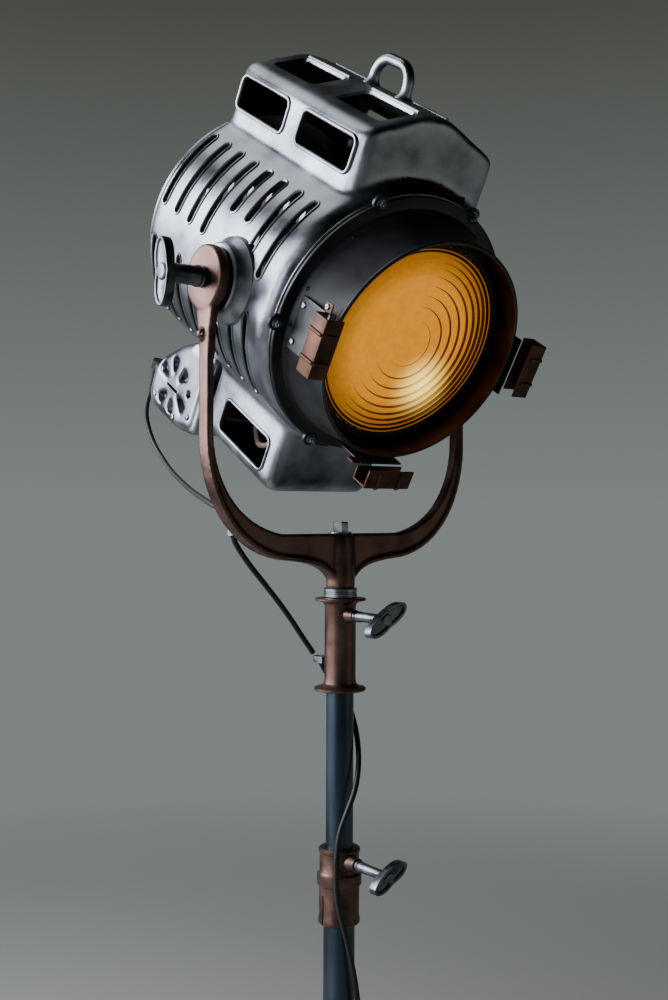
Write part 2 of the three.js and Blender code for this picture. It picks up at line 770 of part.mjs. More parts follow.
piece(
  head,
  "reflector",
  turned(
    "y",
    [
      [0, DISH_Y],
      [REFLECTOR_R * 0.5, DISH_Y - 7],
      [REFLECTOR_R * 0.8, DISH_Y - 16],
      [REFLECTOR_R, DISH_Y - 22],
      [REFLECTOR_R, DISH_Y - 19],
      [REFLECTOR_R * 0.8, DISH_Y - 13],
      [REFLECTOR_R * 0.5, DISH_Y - 4],
      [0, DISH_Y + 3],
    ],
    0,
    AXIS_RISE,
    24,
  ),
  REFLECTIVE,
);
const ROD_FRONT = CARRIAGE_Y + CARRIAGE_LENGTH / 2 - 20 + GAP;
const KNOB_FRONT = DRUM_REAR + 9 + FOCUS_TRAVEL + 6;
piece(head, "focus_rod", bar("y", ROD_FRONT, KNOB_FRONT - GAP, ROD_R, 0, RAIL_Z, 16), STEEL);
piece(
  head,
  "focus_knob",
  turned(
    "y",
    [
      [0, KNOB_FRONT],
      [FOCUS_KNOB_R * 0.6, KNOB_FRONT],
      [FOCUS_KNOB_R * 0.6, KNOB_FRONT + 5],
      [FOCUS_KNOB_R, KNOB_FRONT + 9],
      [FOCUS_KNOB_R, KNOB_FRONT + 20],
      [FOCUS_KNOB_R * 0.8, KNOB_FRONT + 24],
      [0, KNOB_FRONT + 25],
    ],
    0,
    RAIL_Z,
    20,
  ),
  RUBBER,
);

// ---- a swept tube through the given points
function sweep(points, r, sides, stepLength) {
  const curve = new THREE.CatmullRomCurve3(points.map((p) => new THREE.Vector3(...p)), false, "centripetal");
  const section = new THREE.Shape();
  for (let i = 0; i < sides; i++) {
    const a = (i / sides) * Math.PI * 2;
    if (i) section.lineTo(r * Math.cos(a), r * Math.sin(a));
    else section.moveTo(r * Math.cos(a), r * Math.sin(a));
  }
  section.closePath();
  const steps = Math.round(curve.getLength() / stepLength);
  return solid(new THREE.ExtrudeGeometry(section, { steps, extrudePath: curve, bevelEnabled: false }));
}

// Heat-proof lead from the carriage, looped in the skirt and back to the terminal box.
const LEAD_R = 4;
piece(
  head,
  "inner_lead",
  sweep(
    [
      [0, CARRIAGE_Y - CARRIAGE_LENGTH / 2 - 5, RAIL_Z - 2],
      [-2, CARRIAGE_Y - CARRIAGE_LENGTH / 2 - 20, RAIL_Z - 20],
      [-16, 4, SKIRT_Z + 62],
      [-34, -8, SKIRT_Z + 36],
      [-38, 14, SKIRT_Z + 18],
      [-30, 42, SKIRT_Z + 24],
      [-22, 66, SKIRT_Z + 44],
      [-18, SKIRT_REAR - WALL - 14, SKIRT_Z + 54],
      [-18, SKIRT_REAR - WALL - 1, SKIRT_Z + 56],
    ],
    LEAD_R,
    8,
    12,
  ),
  RUBBER,
);

// ---- yoke: two arms with pads, a bent cross bar and a hub
function yokeBody() {
  const outer = PAD_OUT - 1;
  const inner = outer - ARM_T;
  const barTop = -YOKE_DROP;
  const barFoot = BAR_FOOT;
  const s = new THREE.Shape();
  s.moveTo(-outer, -PAD_R + 12);
  s.lineTo(-outer, barTop + YOKE_BEND);
  s.bezierCurveTo(-outer, barTop + 46, -outer + 40, barFoot + 12, -outer + 112, barFoot);
  s.lineTo(-HUB_R - 8, barFoot - 10);
  s.lineTo(-HUB_R, barFoot - HUB_NECK);
  s.lineTo(HUB_R, barFoot - HUB_NECK);
  s.lineTo(HUB_R + 8, barFoot - 10);
  s.lineTo(outer - 112, barFoot);
  s.bezierCurveTo(outer - 40, barFoot + 12, outer, barTop + 46, outer, barTop + YOKE_BEND);
  s.lineTo(outer, -PAD_R + 12);
  s.lineTo(inner, -PAD_R + 12);
  s.lineTo(inner, barTop + YOKE_BEND + 6);
  s.bezierCurveTo(inner, barTop + 66, inner - 32, barTop + 12, inner - 100, barTop);
  s.lineTo(-inner + 100, barTop);
  s.bezierCurveTo(-inner + 32, barTop + 12, -inner, barTop + 66, -inner, barTop + YOKE_BEND + 6);
  s.lineTo(-inner, -PAD_R + 12);
  const bow = plateXZ(s, -YOKE_WIDTH / 2, YOKE_WIDTH / 2, 8);
  const pads = [-1, 1].map((side) => bar("x", side * PAD_IN, side * PAD_OUT, PAD_R, 0, 0, 24));
  const hub = bar("z", HUB_FOOT, barFoot + 4, HUB_R, 0, 0, 24);
  const spigot = bar("z", HUB_FOOT - SPIGOT_LENGTH, barFoot, SPIGOT_R, 0, 0, 24);
  const holes = [-1, 1].map((side) =>
    bar("x", side * (PAD_IN - 5), side * (PAD_OUT + 5), STUD_R + RUN, 0, 0, 16),
  );
  const lug = block(-outer - 8, -outer + 2, -4, 4, -76, -58);
  return cut(join(bow, ...pads, hub, spigot, lug), ...holes);
}
piece(yoke, "yoke", yokeBody(), BRONZE);

piece(yoke, "hub_bolt", bar("z", -YOKE_DROP + GAP, -YOKE_DROP + 15, 10.5, 0, 0, 6), STEEL);
piece(
  yoke,
  "swivel_ring",
  turned(
    "z",
    [
      [SPIGOT_R + RUN, HUB_FOOT - GAP],
      [STEEL_RING_R, HUB_FOOT - GAP],
      [STEEL_RING_R, HUB_FOOT - GAP - STEEL_RING_T],
      [SPIGOT_R + RUN, HUB_FOOT - GAP - STEEL_RING_T],
      [SPIGOT_R + RUN, HUB_FOOT - GAP],
    ],
    0,
    0,
    TUBE_SIDES,
  ),
  STEEL,
);
for (const [name, side] of [
  ["left", -1],
  ["right", 1],
]) {
  const x0 = side * (DRUM_R + BOSS_T + GAP);
  const x1 = x0 + side * WASHER_T;
  const disc = bar("x", x0, x1, PAD_R - 4, 0, 0, 24);
  const hole = bar("x", x0 - side * 5, x1 + side * 5, STUD_R + RUN, 0, 0, 16);
  piece(yoke, `friction_washer_${name}`, cut(disc, hole), RUBBER);
}

// ---- wing knobs: an oval wing plate across a round shank, with a threaded stud
function wingKnob(knob, studLength) {
  const s = new THREE.Shape();
  s.absellipse(0, 0, knob.width / 2, knob.wing / 2, 0, Math.PI * 2);
  const g = new THREE.ExtrudeGeometry(s, { depth: knob.thick, bevelEnabled: false, curveSegments: 7 });
  const wing = solid(g.translate(0, 0, knob.shank));
  const shank = bar("z", 0, knob.shank + 1, knob.shankR, 0, 0, 14);
  const stud = bar("z", -studLength, 1, STUD_R, 0, 0, 12);
  return join(wing, shank, stud);
}

// The group's +z is the way out of the clamp.
function knobGroup(parent, x, y, z, direction, spin) {
  const g = new THREE.Group();
  g.position.set(x, y, z);
  g.quaternion.setFromUnitVectors(new THREE.Vector3(0, 0, 1), new THREE.Vector3(...direction));
  g.rotateZ(rad(spin));
  parent.add(g);
  return g;
}

const TILT_STUD = PAD_T + WASHER_T + BOSS_T - 2;
for (const [name, side] of [
  ["left", -1],
  ["right", 1],
]) {
  const g = knobGroup(yoke, side * (PAD_OUT + GAP), 0, 0, [side, 0, 0], 90);
  piece(g, `tilt_knob_${name}`, wingKnob(TILT_KNOB, TILT_STUD), STEEL);
}

// ---- riser: the sleeve that takes the spigot, and the inner tube
const PAN_KNOB_Z = SLEEVE_TOP - 16;
function sleeve() {
  const body = turned(
    "z",
    [
      [SPIGOT_R + RUN, SLEEVE_TOP],
      [SLEEVE_FLANGE_R, SLEEVE_TOP],
      [SLEEVE_FLANGE_R, SLEEVE_TOP - SLEEVE_FLANGE_T],
      [SLEEVE_R, SLEEVE_TOP - SLEEVE_FLANGE_T - 3],
      [SLEEVE_R, SLEEVE_FOOT + SLEEVE_FLANGE_T + 5],
      [SLEEVE_FLANGE_R, SLEEVE_FOOT + SLEEVE_FLANGE_T],
      [SLEEVE_FLANGE_R, SLEEVE_FOOT],
      [RISER_R + GAP, SLEEVE_FOOT],
      [RISER_R + GAP, SLEEVE_FOOT + 36],
      [SPIGOT_R + RUN, SLEEVE_FOOT + 36],
      [SPIGOT_R + RUN, SLEEVE_TOP],
    ],
    0,
    0,
    TUBE_SIDES,
  );
  const boss = bar("y", -SLEEVE_R - 12, -SPIGOT_R - 3, 8, 0, PAN_KNOB_Z - 6, 16);
  const hole = bar("y", -SLEEVE_R - 20, 0, STUD_R + RUN, 0, PAN_KNOB_Z - 6, 16);
  const bore = bar("z", SLEEVE_FOOT + 36, SLEEVE_TOP + 1, SPIGOT_R + RUN, 0, 0, TUBE_SIDES);
  return cut(join(body, boss), hole, bore);
}
piece(lamp, "sleeve", sleeve(), BRONZE);
const RISER_TOP = SLEEVE_FOOT + 36 - GAP;
const tube = (outer, wall, z0, z1) =>
  turned(
    "z",
    [
      [outer - wall, z0],
      [outer, z0],
      [outer, z1],
      [outer - wall, z1],
      [outer - wall, z0],
    ],
    0,
    0,
    TUBE_SIDES,
  );
piece(lamp, "riser_tube", tube(RISER_R, TUBE_WALL, RISER_TOP - RISER_LENGTH, RISER_TOP), BLUED_STEEL);
const panKnob = knobGroup(lamp, 0, -SLEEVE_R - 12 - GAP, PAN_KNOB_Z - 6, [0, -1, 0], -57);
piece(panKnob, "pan_knob", wingKnob(PAN_KNOB, 16), STEEL);

// ---- mast: the fixed tube, its clamp and the height lock
piece(lamp, "mast_tube", tube(MAST_R, MAST_WALL, MAST_FOOT, MAST_TOP), BLUED_STEEL);
const HEIGHT_KNOB_Z = CLAMP_TOP - 16;
function clampCollar() {
  const body = turned(
    "z",
    [
      [RISER_R + RUN, CLAMP_TOP],
      [CLAMP_R, CLAMP_TOP],
      [CLAMP_R, CLAMP_TOP - 32],
      [CLAMP_R + 2, CLAMP_TOP - 34],
      [CLAMP_R + 2, CLAMP_TOP - 46],
      [CLAMP_R, CLAMP_TOP - 48],
      [CLAMP_R, CLAMP_FOOT],
      [MAST_R + GAP, CLAMP_FOOT],
      [MAST_R + GAP, MAST_TOP + GAP],
      [RISER_R + RUN, MAST_TOP + GAP],
      [RISER_R + RUN, CLAMP_TOP],
    ],
    0,
    0,
    TUBE_SIDES,
  );
  const boss = bar("y", -CLAMP_R - 12, -RISER_R - 3, 9, 0, HEIGHT_KNOB_Z, 16);
  const hole = bar("y", -CLAMP_R - 20, 0, STUD_R + RUN, 0, HEIGHT_KNOB_Z, 16);
  const bore = bar("z", MAST_TOP, CLAMP_TOP + 1, RISER_R + RUN, 0, 0, TUBE_SIDES);
  return cut(join(body, boss), hole, bore);
}
piece(lamp, "clamp_collar", clampCollar(), BRONZE);
const heightKnob = knobGroup(lamp, 0, -CLAMP_R - 12 - GAP, HEIGHT_KNOB_Z, [0, -1, 0], -60);
piece(heightKnob, "height_knob", wingKnob(HEIGHT_KNOB, 18), STEEL);

// ---- crown: the fixed hub that carries the legs
function wheel(r, height, zMid, bore, lugs) {
  const z0 = zMid - height / 2;
  const body = bar("z", z0, z0 + height, r, 0, 0, TUBE_SIDES);
  return cut(join(body, ...lugs), bar("z", z0 - 5, z0 + height + 5, bore, 0, 0, TUBE_SIDES));
}

// A block in the plane of a leg: radial, across the leg, and up, turned to the leg's side.
function legBlock(index, r0, r1, t0, t1, z0, z1) {
  const g = new THREE.BoxGeometry(r1 - r0, t1 - t0, z1 - z0);
  g.translate((r0 + r1) / 2, (t0 + t1) / 2, (z0 + z1) / 2);
  return solid(g.rotateZ(rad(LEG_DEG[index])));
}

// A pin across a leg's plane.
function legPin(index, r, z, radius, t0, t1) {
  const g = new THREE.CylinderGeometry(radius, radius, t1 - t0, 10);
  g.translate(r, (t0 + t1) / 2, z);
  return solid(g.rotateZ(rad(LEG_DEG[index])));
}

const CHEEK_IN = TONGUE_T / 2 + 0.4;
const CHEEK_OUT = CHEEK_IN + CHEEK_T;
const PIN_GAP = 0.4;
const crownLugs = LEG_DEG.flatMap((_, i) =>
  [-1, 1].map((s) =>
    legBlock(
      i,
      CROWN_R - 8,
      PIVOT_R + 12,
      Math.min(s * CHEEK_IN, s * CHEEK_OUT),
      Math.max(s * CHEEK_IN, s * CHEEK_OUT),
      CROWN_Z - 14,
      CROWN_Z + 14,
    ),
  ),
);
const crownPins = LEG_DEG.map((_, i) =>
  legPin(i, PIVOT_R, CROWN_Z, PIN_R, -CHEEK_OUT - 2, CHEEK_OUT + 2),
);
piece(
  lamp,
  "leg_crown",
  join(wheel(CROWN_R, CROWN_HEIGHT, CROWN_Z + 8, MAST_R + GAP, crownLugs), ...crownPins),
  BRONZE,
);
piece(
  lamp,
  "mast_plug",
  join(
    bar("z", MAST_FOOT - 8, MAST_FOOT - GAP, MAST_R, 0, 0, TUBE_SIDES),
    bar("z", MAST_FOOT - 1, MAST_FOOT + 20, RISER_R - TUBE_WALL, 0, 0, TUBE_SIDES),
  ),
  RUBBER,
);

// ---- legs: each is built straight down from its pivot, then swung out
const TONGUE_LENGTH = 52;
const TONGUE_TOP = 6; // above the pivot
const FOOT_TOP_ALONG = LEG_LENGTH - 4;
function legSolid(index) {
  const along = (g) => {
    g.rotateY(-LEG_RAD);
    g.translate(PIVOT_R, 0, CROWN_Z);
    return solid(g.rotateZ(rad(LEG_DEG[index])));
  };
  const tongueBox = new THREE.BoxGeometry(18, TONGUE_T, TONGUE_LENGTH + TONGUE_TOP);
  const tongue = along(tongueBox.translate(0, 0, (TONGUE_TOP - TONGUE_LENGTH) / 2));
  const start = TONGUE_LENGTH - 12;
  const barrel = new THREE.CylinderGeometry(LEG_R, LEG_R, FOOT_TOP_ALONG - start, 20);
  const pipe = along(barrel.rotateX(Math.PI / 2).translate(0, 0, -(FOOT_TOP_ALONG + start) / 2));
  const floor = legBlock(index, LEG_REACH - 80, LEG_REACH + 80, -60, 60, -60, 6);
  return cut(join(tongue, pipe), legPin(index, PIVOT_R, CROWN_Z, PIN_R + PIN_GAP, -30, 30), floor);
}

function footSolid(index) {
  const g = new THREE.CylinderGeometry(FOOT_R * 0.85, FOOT_R, FOOT_HEIGHT, 24);
  const cup = solid(
    g
      .rotateX(Math.PI / 2)
      .translate(LEG_REACH, 0, FOOT_HEIGHT / 2)
      .rotateZ(rad(LEG_DEG[index])),
  );
  const barrel = new THREE.CylinderGeometry(LEG_R + GAP, LEG_R + GAP, 160, 20);
  barrel.rotateX(Math.PI / 2).translate(0, 0, 0).rotateY(-LEG_RAD).translate(LEG_REACH, 0, FOOT_HEIGHT / 2);
  const socket = solid(barrel.rotateZ(rad(LEG_DEG[index])));
  const above = legBlock(index, LEG_REACH - 80, LEG_REACH + 80, -60, 60, 6 - GAP, 100);
  return cut(cup, socket.intersect(above));
}

LEG_DEG.forEach((_, i) => {
  piece(lamp, `leg_${i + 1}`, legSolid(i), BLUED_STEEL);
  piece(lamp, `foot_${i + 1}`, footSolid(i), RUBBER);
});

// ---- slider on the mast, and a brace from it to each leg
const LUG_IN = -6;
const LUG_OUT = LEG_R + 2.5 - GAP;
const BRACE_IN = LEG_R + 2.5;
const sliderLugs = LEG_DEG.map((_, i) =>
  legBlock(i, MAST_R + 4, PIVOT_R + 9, LUG_IN, LUG_OUT, SLIDER_Z - 10, SLIDER_Z + 10),
);
const sliderPins = LEG_DEG.map((_, i) =>
  legPin(i, PIVOT_R, SLIDER_Z, PIN_R, LUG_OUT - 2, BRACE_IN + BRACE_T + 3),
);
piece(
  lamp,
  "brace_slider",
  join(wheel(MAST_R + 9, SLIDER_HEIGHT, SLIDER_Z, MAST_R + RUN, sliderLugs), ...sliderPins),
  BRONZE,
);

function braceSolid(index) {
  const s = new THREE.Shape();
  s.absarc(0, 0, BRACE_HALF, Math.PI, Math.PI * 2);
  s.absarc(0, BRACE_LENGTH, BRACE_HALF, 0, Math.PI);
  s.closePath();
  const hole = new THREE.Path();
  hole.absarc(0, 0, PIN_R + PIN_GAP, 0, Math.PI * 2, true);
  s.holes.push(hole);
  const strap = new THREE.ExtrudeGeometry(s, { depth: BRACE_T, bevelEnabled: false, curveSegments: 4 });
  // the outline's y becomes up and outward, its thickness runs across the leg
  strap.rotateX(Math.PI / 2).translate(0, BRACE_IN + BRACE_T, 0);
  strap.rotateY(LEG_RAD).translate(PIVOT_R, 0, SLIDER_Z);
  const flat = solid(strap.rotateZ(rad(LEG_DEG[index])));
  const r = PIVOT_R + BRACE_LENGTH * Math.sin(LEG_RAD);
  const z = SLIDER_Z + BRACE_LENGTH * Math.cos(LEG_RAD);
  const bolt = legPin(index, r, z, 6.5, BRACE_IN + BRACE_T - 1, BRACE_IN + BRACE_T + 6);
  return join(flat, bolt);
}
LEG_DEG.forEach((_, i) => {
  piece(lamp, `brace_${i + 1}`, braceSolid(i), STEEL);
});

// ---- mains cord: gland to yoke clip, yoke clip to sleeve clip, sleeve clip to the floor, then a coil
// Points are from the pole's axis, z from the tilt axis for the first two, z from the floor for the last.
const EXIT = new THREE.Vector3(GLAND_X, GLAND_Y, GLAND_Z - 26 - GAP).applyAxisAngle(
  new THREE.Vector3(1, 0, 0),
  rad(TILT_DEG),
);
const down = new THREE.Vector3(0, 0, -1).applyAxisAngle(new THREE.Vector3(1, 0, 0), rad(TILT_DEG));
const LEAD_OUT = [4, 22].map((d) => EXIT.clone().addScaledVector(down, d - 4).toArray());
const HEAD_CORD = [
  ...LEAD_OUT,
  [-66.5, 392.5, -131],
  [-64.5, 390, -149],
  [-63.5, 381, -166],
  [-64, 366, -182],
  [-67, 340, -200],
  [-75, 303, -217],
  [-88, 257, -231],
  [-106.8, 195, -246],
  [-128.5, 126, -259],
  [-141.5, 78, -268],
  [-146.5, 40, -277],
  [-147.3, 29, -285.5],
  [-147, 24, -297],
];
const YOKE_CORD = [
  [-147, 24, -305],
  [-144, 24.5, -313],
  [-137, 25.2, -322.5],
  [-121, 27, -341],
  [-97, 30, -365],
  [-72, 33, -390.5],
  [-50, 36, -414.5],
  [-32, 38.5, -436],
  [-14, 39, -458],
];
const CLIP_X = 59.6 - PAD_OUT;
const YOKE_CLIP_Z = -YOKE_DROP + 2;
const SLEEVE_CLIP = [-6, SLEEVE_R + 18, SLEEVE_TOP - 81.4 - TILT_HEIGHT];

// Stand cord: sideways to the right of the view line, towards it, and height above the floor.
const VIEW_DEG = -37.4;
const side = (across, towards, z) => {
  const a = rad(VIEW_DEG);
  return [
    across * Math.cos(a) + towards * Math.sin(a),
    across * Math.sin(a) - towards * Math.cos(a),
    z,
  ];
};
const STAND_CORD = [
  side(-24.5, -31, 1253),
  side(-18, -37, 1240),
  side(-6, -40, 1226),
  side(6, -35, 1210),
  side(15, -23, 1190),
  side(22, -7, 1162),
  side(24, 8, 1130),
  side(19, 23, 1100),
  side(9, 31, 1074),
  side(1, 34, 1052),
  side(-3, 35, 1028),
  side(-4, 35, 1000),
  side(-3, 35, 972),
  side(1, 34, 948),
  side(8, 32, 922),
  side(15, 28, 890),
  side(21, 21, 856),
  side(25, 14, 822),
  side(30, 10, 780),
  side(36, 8, 730),
  side(43, 6, 680),
  side(48, 5, 620),
  side(50, 5, 540),
  side(51, 5, 450),
  side(52, 5, 350),
  side(53, 5, 250),
  side(55, 5, 160),
  side(57, 5, 104),
  side(63, 6, 58),
  side(78, 9, 24),
  side(102, 15, 6.5),
  side(128, 24, CORD_R),
  side(154, 32, CORD_R),
  side(182, 36.6, CORD_R),
  side(206, 37.1, CORD_R),
];

const cord = new THREE.Group();
cord.position.z = TILT_HEIGHT;
lamp.add(cord);
const CORD_SIDES = 8;
const CORD_STEP = 28;
piece(cord, "mains_cord_head", sweep(HEAD_CORD, CORD_R, CORD_SIDES, CORD_STEP), RUBBER);
piece(cord, "mains_cord_yoke", sweep(YOKE_CORD, CORD_R, CORD_SIDES, CORD_STEP), RUBBER);

const coilHalf = COIL_COLUMNS * CORD_R;
const coilHeight = COIL_LAYERS * CORD_R * 2;
const [coilX, coilY] = side(COIL_ACROSS, COIL_TOWARDS, 0);
const coilRing = (grow) =>
  turned(
    "z",
    [
      [COIL_MID_R - coilHalf - grow, COIL_FOOT - grow],
      [COIL_MID_R + coilHalf + grow, COIL_FOOT - grow],
      [COIL_MID_R + coilHalf + grow, coilHeight + grow],
      [COIL_MID_R - coilHalf - grow, coilHeight + grow],
      [COIL_MID_R - coilHalf - grow, COIL_FOOT - grow],
    ],
    coilX,
    coilY,
    28,
  );
piece(
  lamp,
  "mains_cord_stand",
  cut(sweep(STAND_CORD, CORD_R, CORD_SIDES, CORD_STEP), coilRing(GAP)),
  RUBBER,
);
piece(lamp, "mains_cord_coil", coilRing(0), RUBBER);

// A two-pin plug: tapered strain relief, body and pins along +y.
function plug() {
  const axis = 13;
  const relief = turned(
    "y",
    [
      [0, 0],
      [CORD_R + 0.5, 0],
      [7, 34],
      [7, 37],
      [0, 37],
    ],
    0,
    axis,
    12,
  );
  const grip = block(-17, 17, 36, 74, COIL_FOOT, 2 * axis);
  const pins = [-9.5, 9.5].map((x) => bar("y", 73, 93, 2.4, x, axis, 10));
  return join(relief, grip, ...pins);
}
const plugGroup = new THREE.Group();
plugGroup.position.set(...side(COIL_ACROSS + COIL_MID_R + 2 * CORD_R, COIL_TOWARDS - 29, 0));
plugGroup.rotation.z = rad(VIEW_DEG);
lamp.add(plugGroup);
piece(plugGroup, "mains_plug", plug(), RUBBER);

// ---- clips that hold the cord to the yoke and to the sleeve
function clip(z0, z1, centre, wallY, r) {
  const [x, y] = centre;
  const ringOut = bar("z", z0, z1, r + 2.5, x, y, 16);
  const tab = block(x - 8, x + 8, wallY, y, z0, z1);
  return cut(join(ringOut, tab), bar("z", z0 - 5, z1 + 5, r + GAP, x, y, 16));
}
piece(
  yoke,
  "yoke_cord_clip",
  clip(YOKE_CLIP_Z - 3.4, YOKE_CLIP_Z + 3.4, [CLIP_X, 24], YOKE_WIDTH / 2 + GAP, CORD_R + 1),
  STEEL,
);
piece(
  lamp,
  "sleeve_cord_clip",
  clip(
    TILT_HEIGHT + SLEEVE_CLIP[2] - 4,
    TILT_HEIGHT + SLEEVE_CLIP[2] + 4,
    SLEEVE_CLIP,
    SLEEVE_R + GAP,
    CORD_R + 1,
  ),
  STEEL,
);

// ---- origin: on the floor under the middle of the object, the cord left out
const body = new THREE.Box3();
lamp.updateMatrixWorld(true);
lamp.traverse((o) => {
  if (o.isMesh && !o.name.startsWith("mains_")) body.expandByObject(o, true);
});
lamp.position.set(-(body.min.x + body.max.x) / 2, -(body.min.y + body.max.y) / 2, 0);

export default lamp;
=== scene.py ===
import json
import random
from math import atan2, cos, degrees, hypot, pi, radians, sin, sqrt
import bpy
from mathutils import Matrix, Vector


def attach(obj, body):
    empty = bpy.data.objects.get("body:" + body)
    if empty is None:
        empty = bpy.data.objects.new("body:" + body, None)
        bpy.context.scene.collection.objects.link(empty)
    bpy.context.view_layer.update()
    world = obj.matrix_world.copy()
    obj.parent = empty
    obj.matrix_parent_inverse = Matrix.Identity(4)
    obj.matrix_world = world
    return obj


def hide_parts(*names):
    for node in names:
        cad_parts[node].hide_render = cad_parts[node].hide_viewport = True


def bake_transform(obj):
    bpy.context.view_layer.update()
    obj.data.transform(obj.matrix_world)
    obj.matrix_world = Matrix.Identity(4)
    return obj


# Studio spotlight on a folding tripod stand. Sizes in the dictionaries are millimetres, the scene is in metres.
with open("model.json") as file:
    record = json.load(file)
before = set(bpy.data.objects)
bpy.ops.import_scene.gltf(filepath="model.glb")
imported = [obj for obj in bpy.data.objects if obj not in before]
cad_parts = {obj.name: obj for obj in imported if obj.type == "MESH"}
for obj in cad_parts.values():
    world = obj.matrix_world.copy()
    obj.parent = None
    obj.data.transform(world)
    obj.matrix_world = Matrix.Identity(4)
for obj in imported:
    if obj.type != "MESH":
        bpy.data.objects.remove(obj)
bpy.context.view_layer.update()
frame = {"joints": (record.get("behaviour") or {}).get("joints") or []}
mm = 0.001
# How near two points have to be to count as one, in metres.
weldGap = {"turned": 0.00002, "pushed": 0.00001, "tube": 0.000001}

# The frame's own places: the pole, the tilt axis and how far the head is tipped.
joints = {j["name"]: j for j in frame["joints"]}
tiltPlace = Vector(joints["tilt"]["pos_m"])
poleY = tiltPlace.y
focusAxis = joints["focus_slide"]["axis"]
noseDown = atan2(focusAxis[2], focusAxis[1])
headPlace = Matrix.Translation(tiltPlace) @ Matrix.Rotation(noseDown, 4, "X")
yokePlace = Matrix.Translation(tiltPlace)
polePlace = Matrix.Translation((0, poleY, 0))


def deselect():
    if bpy.context.mode != "OBJECT":
        bpy.ops.object.mode_set(mode="OBJECT")
    bpy.ops.object.select_all(action="DESELECT")


def pick(*objs):
    deselect()
    for o in objs:
        o.select_set(True)
    bpy.context.view_layer.objects.active = objs[0]
    return objs[0]


def edit(obj, kind="VERT", everything=True):
    pick(obj)
    bpy.ops.object.mode_set(mode="EDIT")
    bpy.ops.mesh.select_mode(type=kind)
    bpy.ops.mesh.select_all(action="SELECT" if everything else "DESELECT")


def done():
    bpy.ops.object.mode_set(mode="OBJECT")


# Joins doubled points and turns the faces outward, then leaves edit mode.
def welded(gap):
    bpy.ops.mesh.select_all(action="SELECT")
    bpy.ops.mesh.remove_doubles(threshold=gap)
    bpy.ops.mesh.normals_make_consistent(inside=False)
    done()


def newCopy(obj, name, place=None):
    pick(obj)
    bpy.ops.object.duplicate()
    twin = bpy.context.object
    twin.name = name
    if place is not None:
        moveMesh(twin, place)
    return twin


def moveMesh(obj, place):
    obj.data.transform(place)
    if place.determinant() < 0:
        edit(obj)
        bpy.ops.mesh.normals_make_consistent(inside=False)
        done()
    obj.data.update()
    return obj


def applyAll(obj):
    pick(obj)
    for m in list(obj.modifiers):
        bpy.ops.object.modifier_apply(modifier=m.name)
    return obj


def bevelled(obj, width, segments=3, angle=30):
    m = obj.modifiers.new("bevel", "BEVEL")
    m.width = width * mm
    m.segments = segments
    m.limit_method = "ANGLE"
    m.angle_limit = radians(angle)
    return applyAll(obj)


def together(name, *objs):
    pick(*objs)
    if len(objs) > 1:
        bpy.ops.object.join()
    made = bpy.context.object
    made.name = name
    return made


def boolean(obj, other, kind="DIFFERENCE", solver="MANIFOLD"):
    m = obj.modifiers.new("cut", "BOOLEAN")
    m.operation = kind
    m.solver = solver
    m.object = other
    applyAll(obj)
    bpy.data.objects.remove(other)
    return obj


def softened(obj, grain, rounds):
    m = obj.modifiers.new("clay", "REMESH")
    m.mode = "VOXEL"
    m.voxel_size = grain * mm
    s = obj.modifiers.new("rub", "SMOOTH")
    s.iterations = rounds
    return applyAll(obj)


def smoothShade(obj, angle=35):
    pick(obj)
    bpy.ops.object.shade_smooth_by_angle(angle=radians(angle), keep_sharp_edges=False)
    return obj


# A vertex pushed from point to point, as a pen draws. Points are three numbers in millimetres.
def drawn(name, points):
    bpy.ops.mesh.primitive_plane_add(size=0.001)
    obj = bpy.context.object
    obj.name = name
    edit(obj)
    bpy.ops.mesh.merge(type="CENTER")
    spot = Vector(points[0])
    bpy.ops.transform.translate(value=spot * mm)
    for p in points[1:]:
        step = Vector(p) - spot
        bpy.ops.mesh.extrude_region_move(TRANSFORM_OT_translate={"value": step * mm})
        spot = Vector(p)
    return obj


# Turned on a lathe: profile points are (radius, place along the axis).
def turned(name, axis, profile, centre=(0, 0), steps=96, shade=35):
    deselect()
    u, v = centre
    if axis == "x":
        points = [(h, u, v + r) for r, h in profile]
        middle, way = (0, u, v), (1, 0, 0)
    elif axis == "y":
        points = [(u, h, v + r) for r, h in profile]
        middle, way = (u, 0, v), (0, 1, 0)
    else:
        points = [(u + r, v, h) for r, h in profile]
        middle, way = (u, v, 0), (0, 0, 1)
    obj = drawn(name, points)
    bpy.ops.mesh.select_all(action="SELECT")
    bpy.ops.mesh.spin(steps=steps, angle=2 * pi, center=Vector(middle) * mm, axis=way)
    welded(weldGap["turned"])
    return smoothShade(obj, shade)


# A flat outline pushed along an axis. Outline points are the other two coordinates in x, y, z order.
def pushed(name, axis, outline, start, end):
    deselect()
    lift = {"x": lambda a, b: (start, a, b), "y": lambda a, b: (a, start, b), "z": lambda a, b: (a, b, start)}
    obj = drawn(name, [lift[axis](a, b) for a, b in outline])
    bpy.ops.mesh.select_all(action="SELECT")
    bpy.ops.mesh.edge_face_add()
    step = Vector([(end - start) * mm if axis == k else 0 for k in "xyz"])
    bpy.ops.mesh.extrude_region_move(TRANSFORM_OT_translate={"value": step})
    welded(weldGap["pushed"])
    return obj


# A round peg between two places along an axis, and a hole cut with one.
def peg(name, axis, r, start, end, centre=(0, 0), steps=24):
    return turned(name, axis, [(0, start), (r, start), (r, end), (0, end)], centre, steps)


def bored(obj, axis, r, start, end, centre=(0, 0), steps=24):
    return boolean(obj, peg("bore", axis, r, start, end, centre, steps))


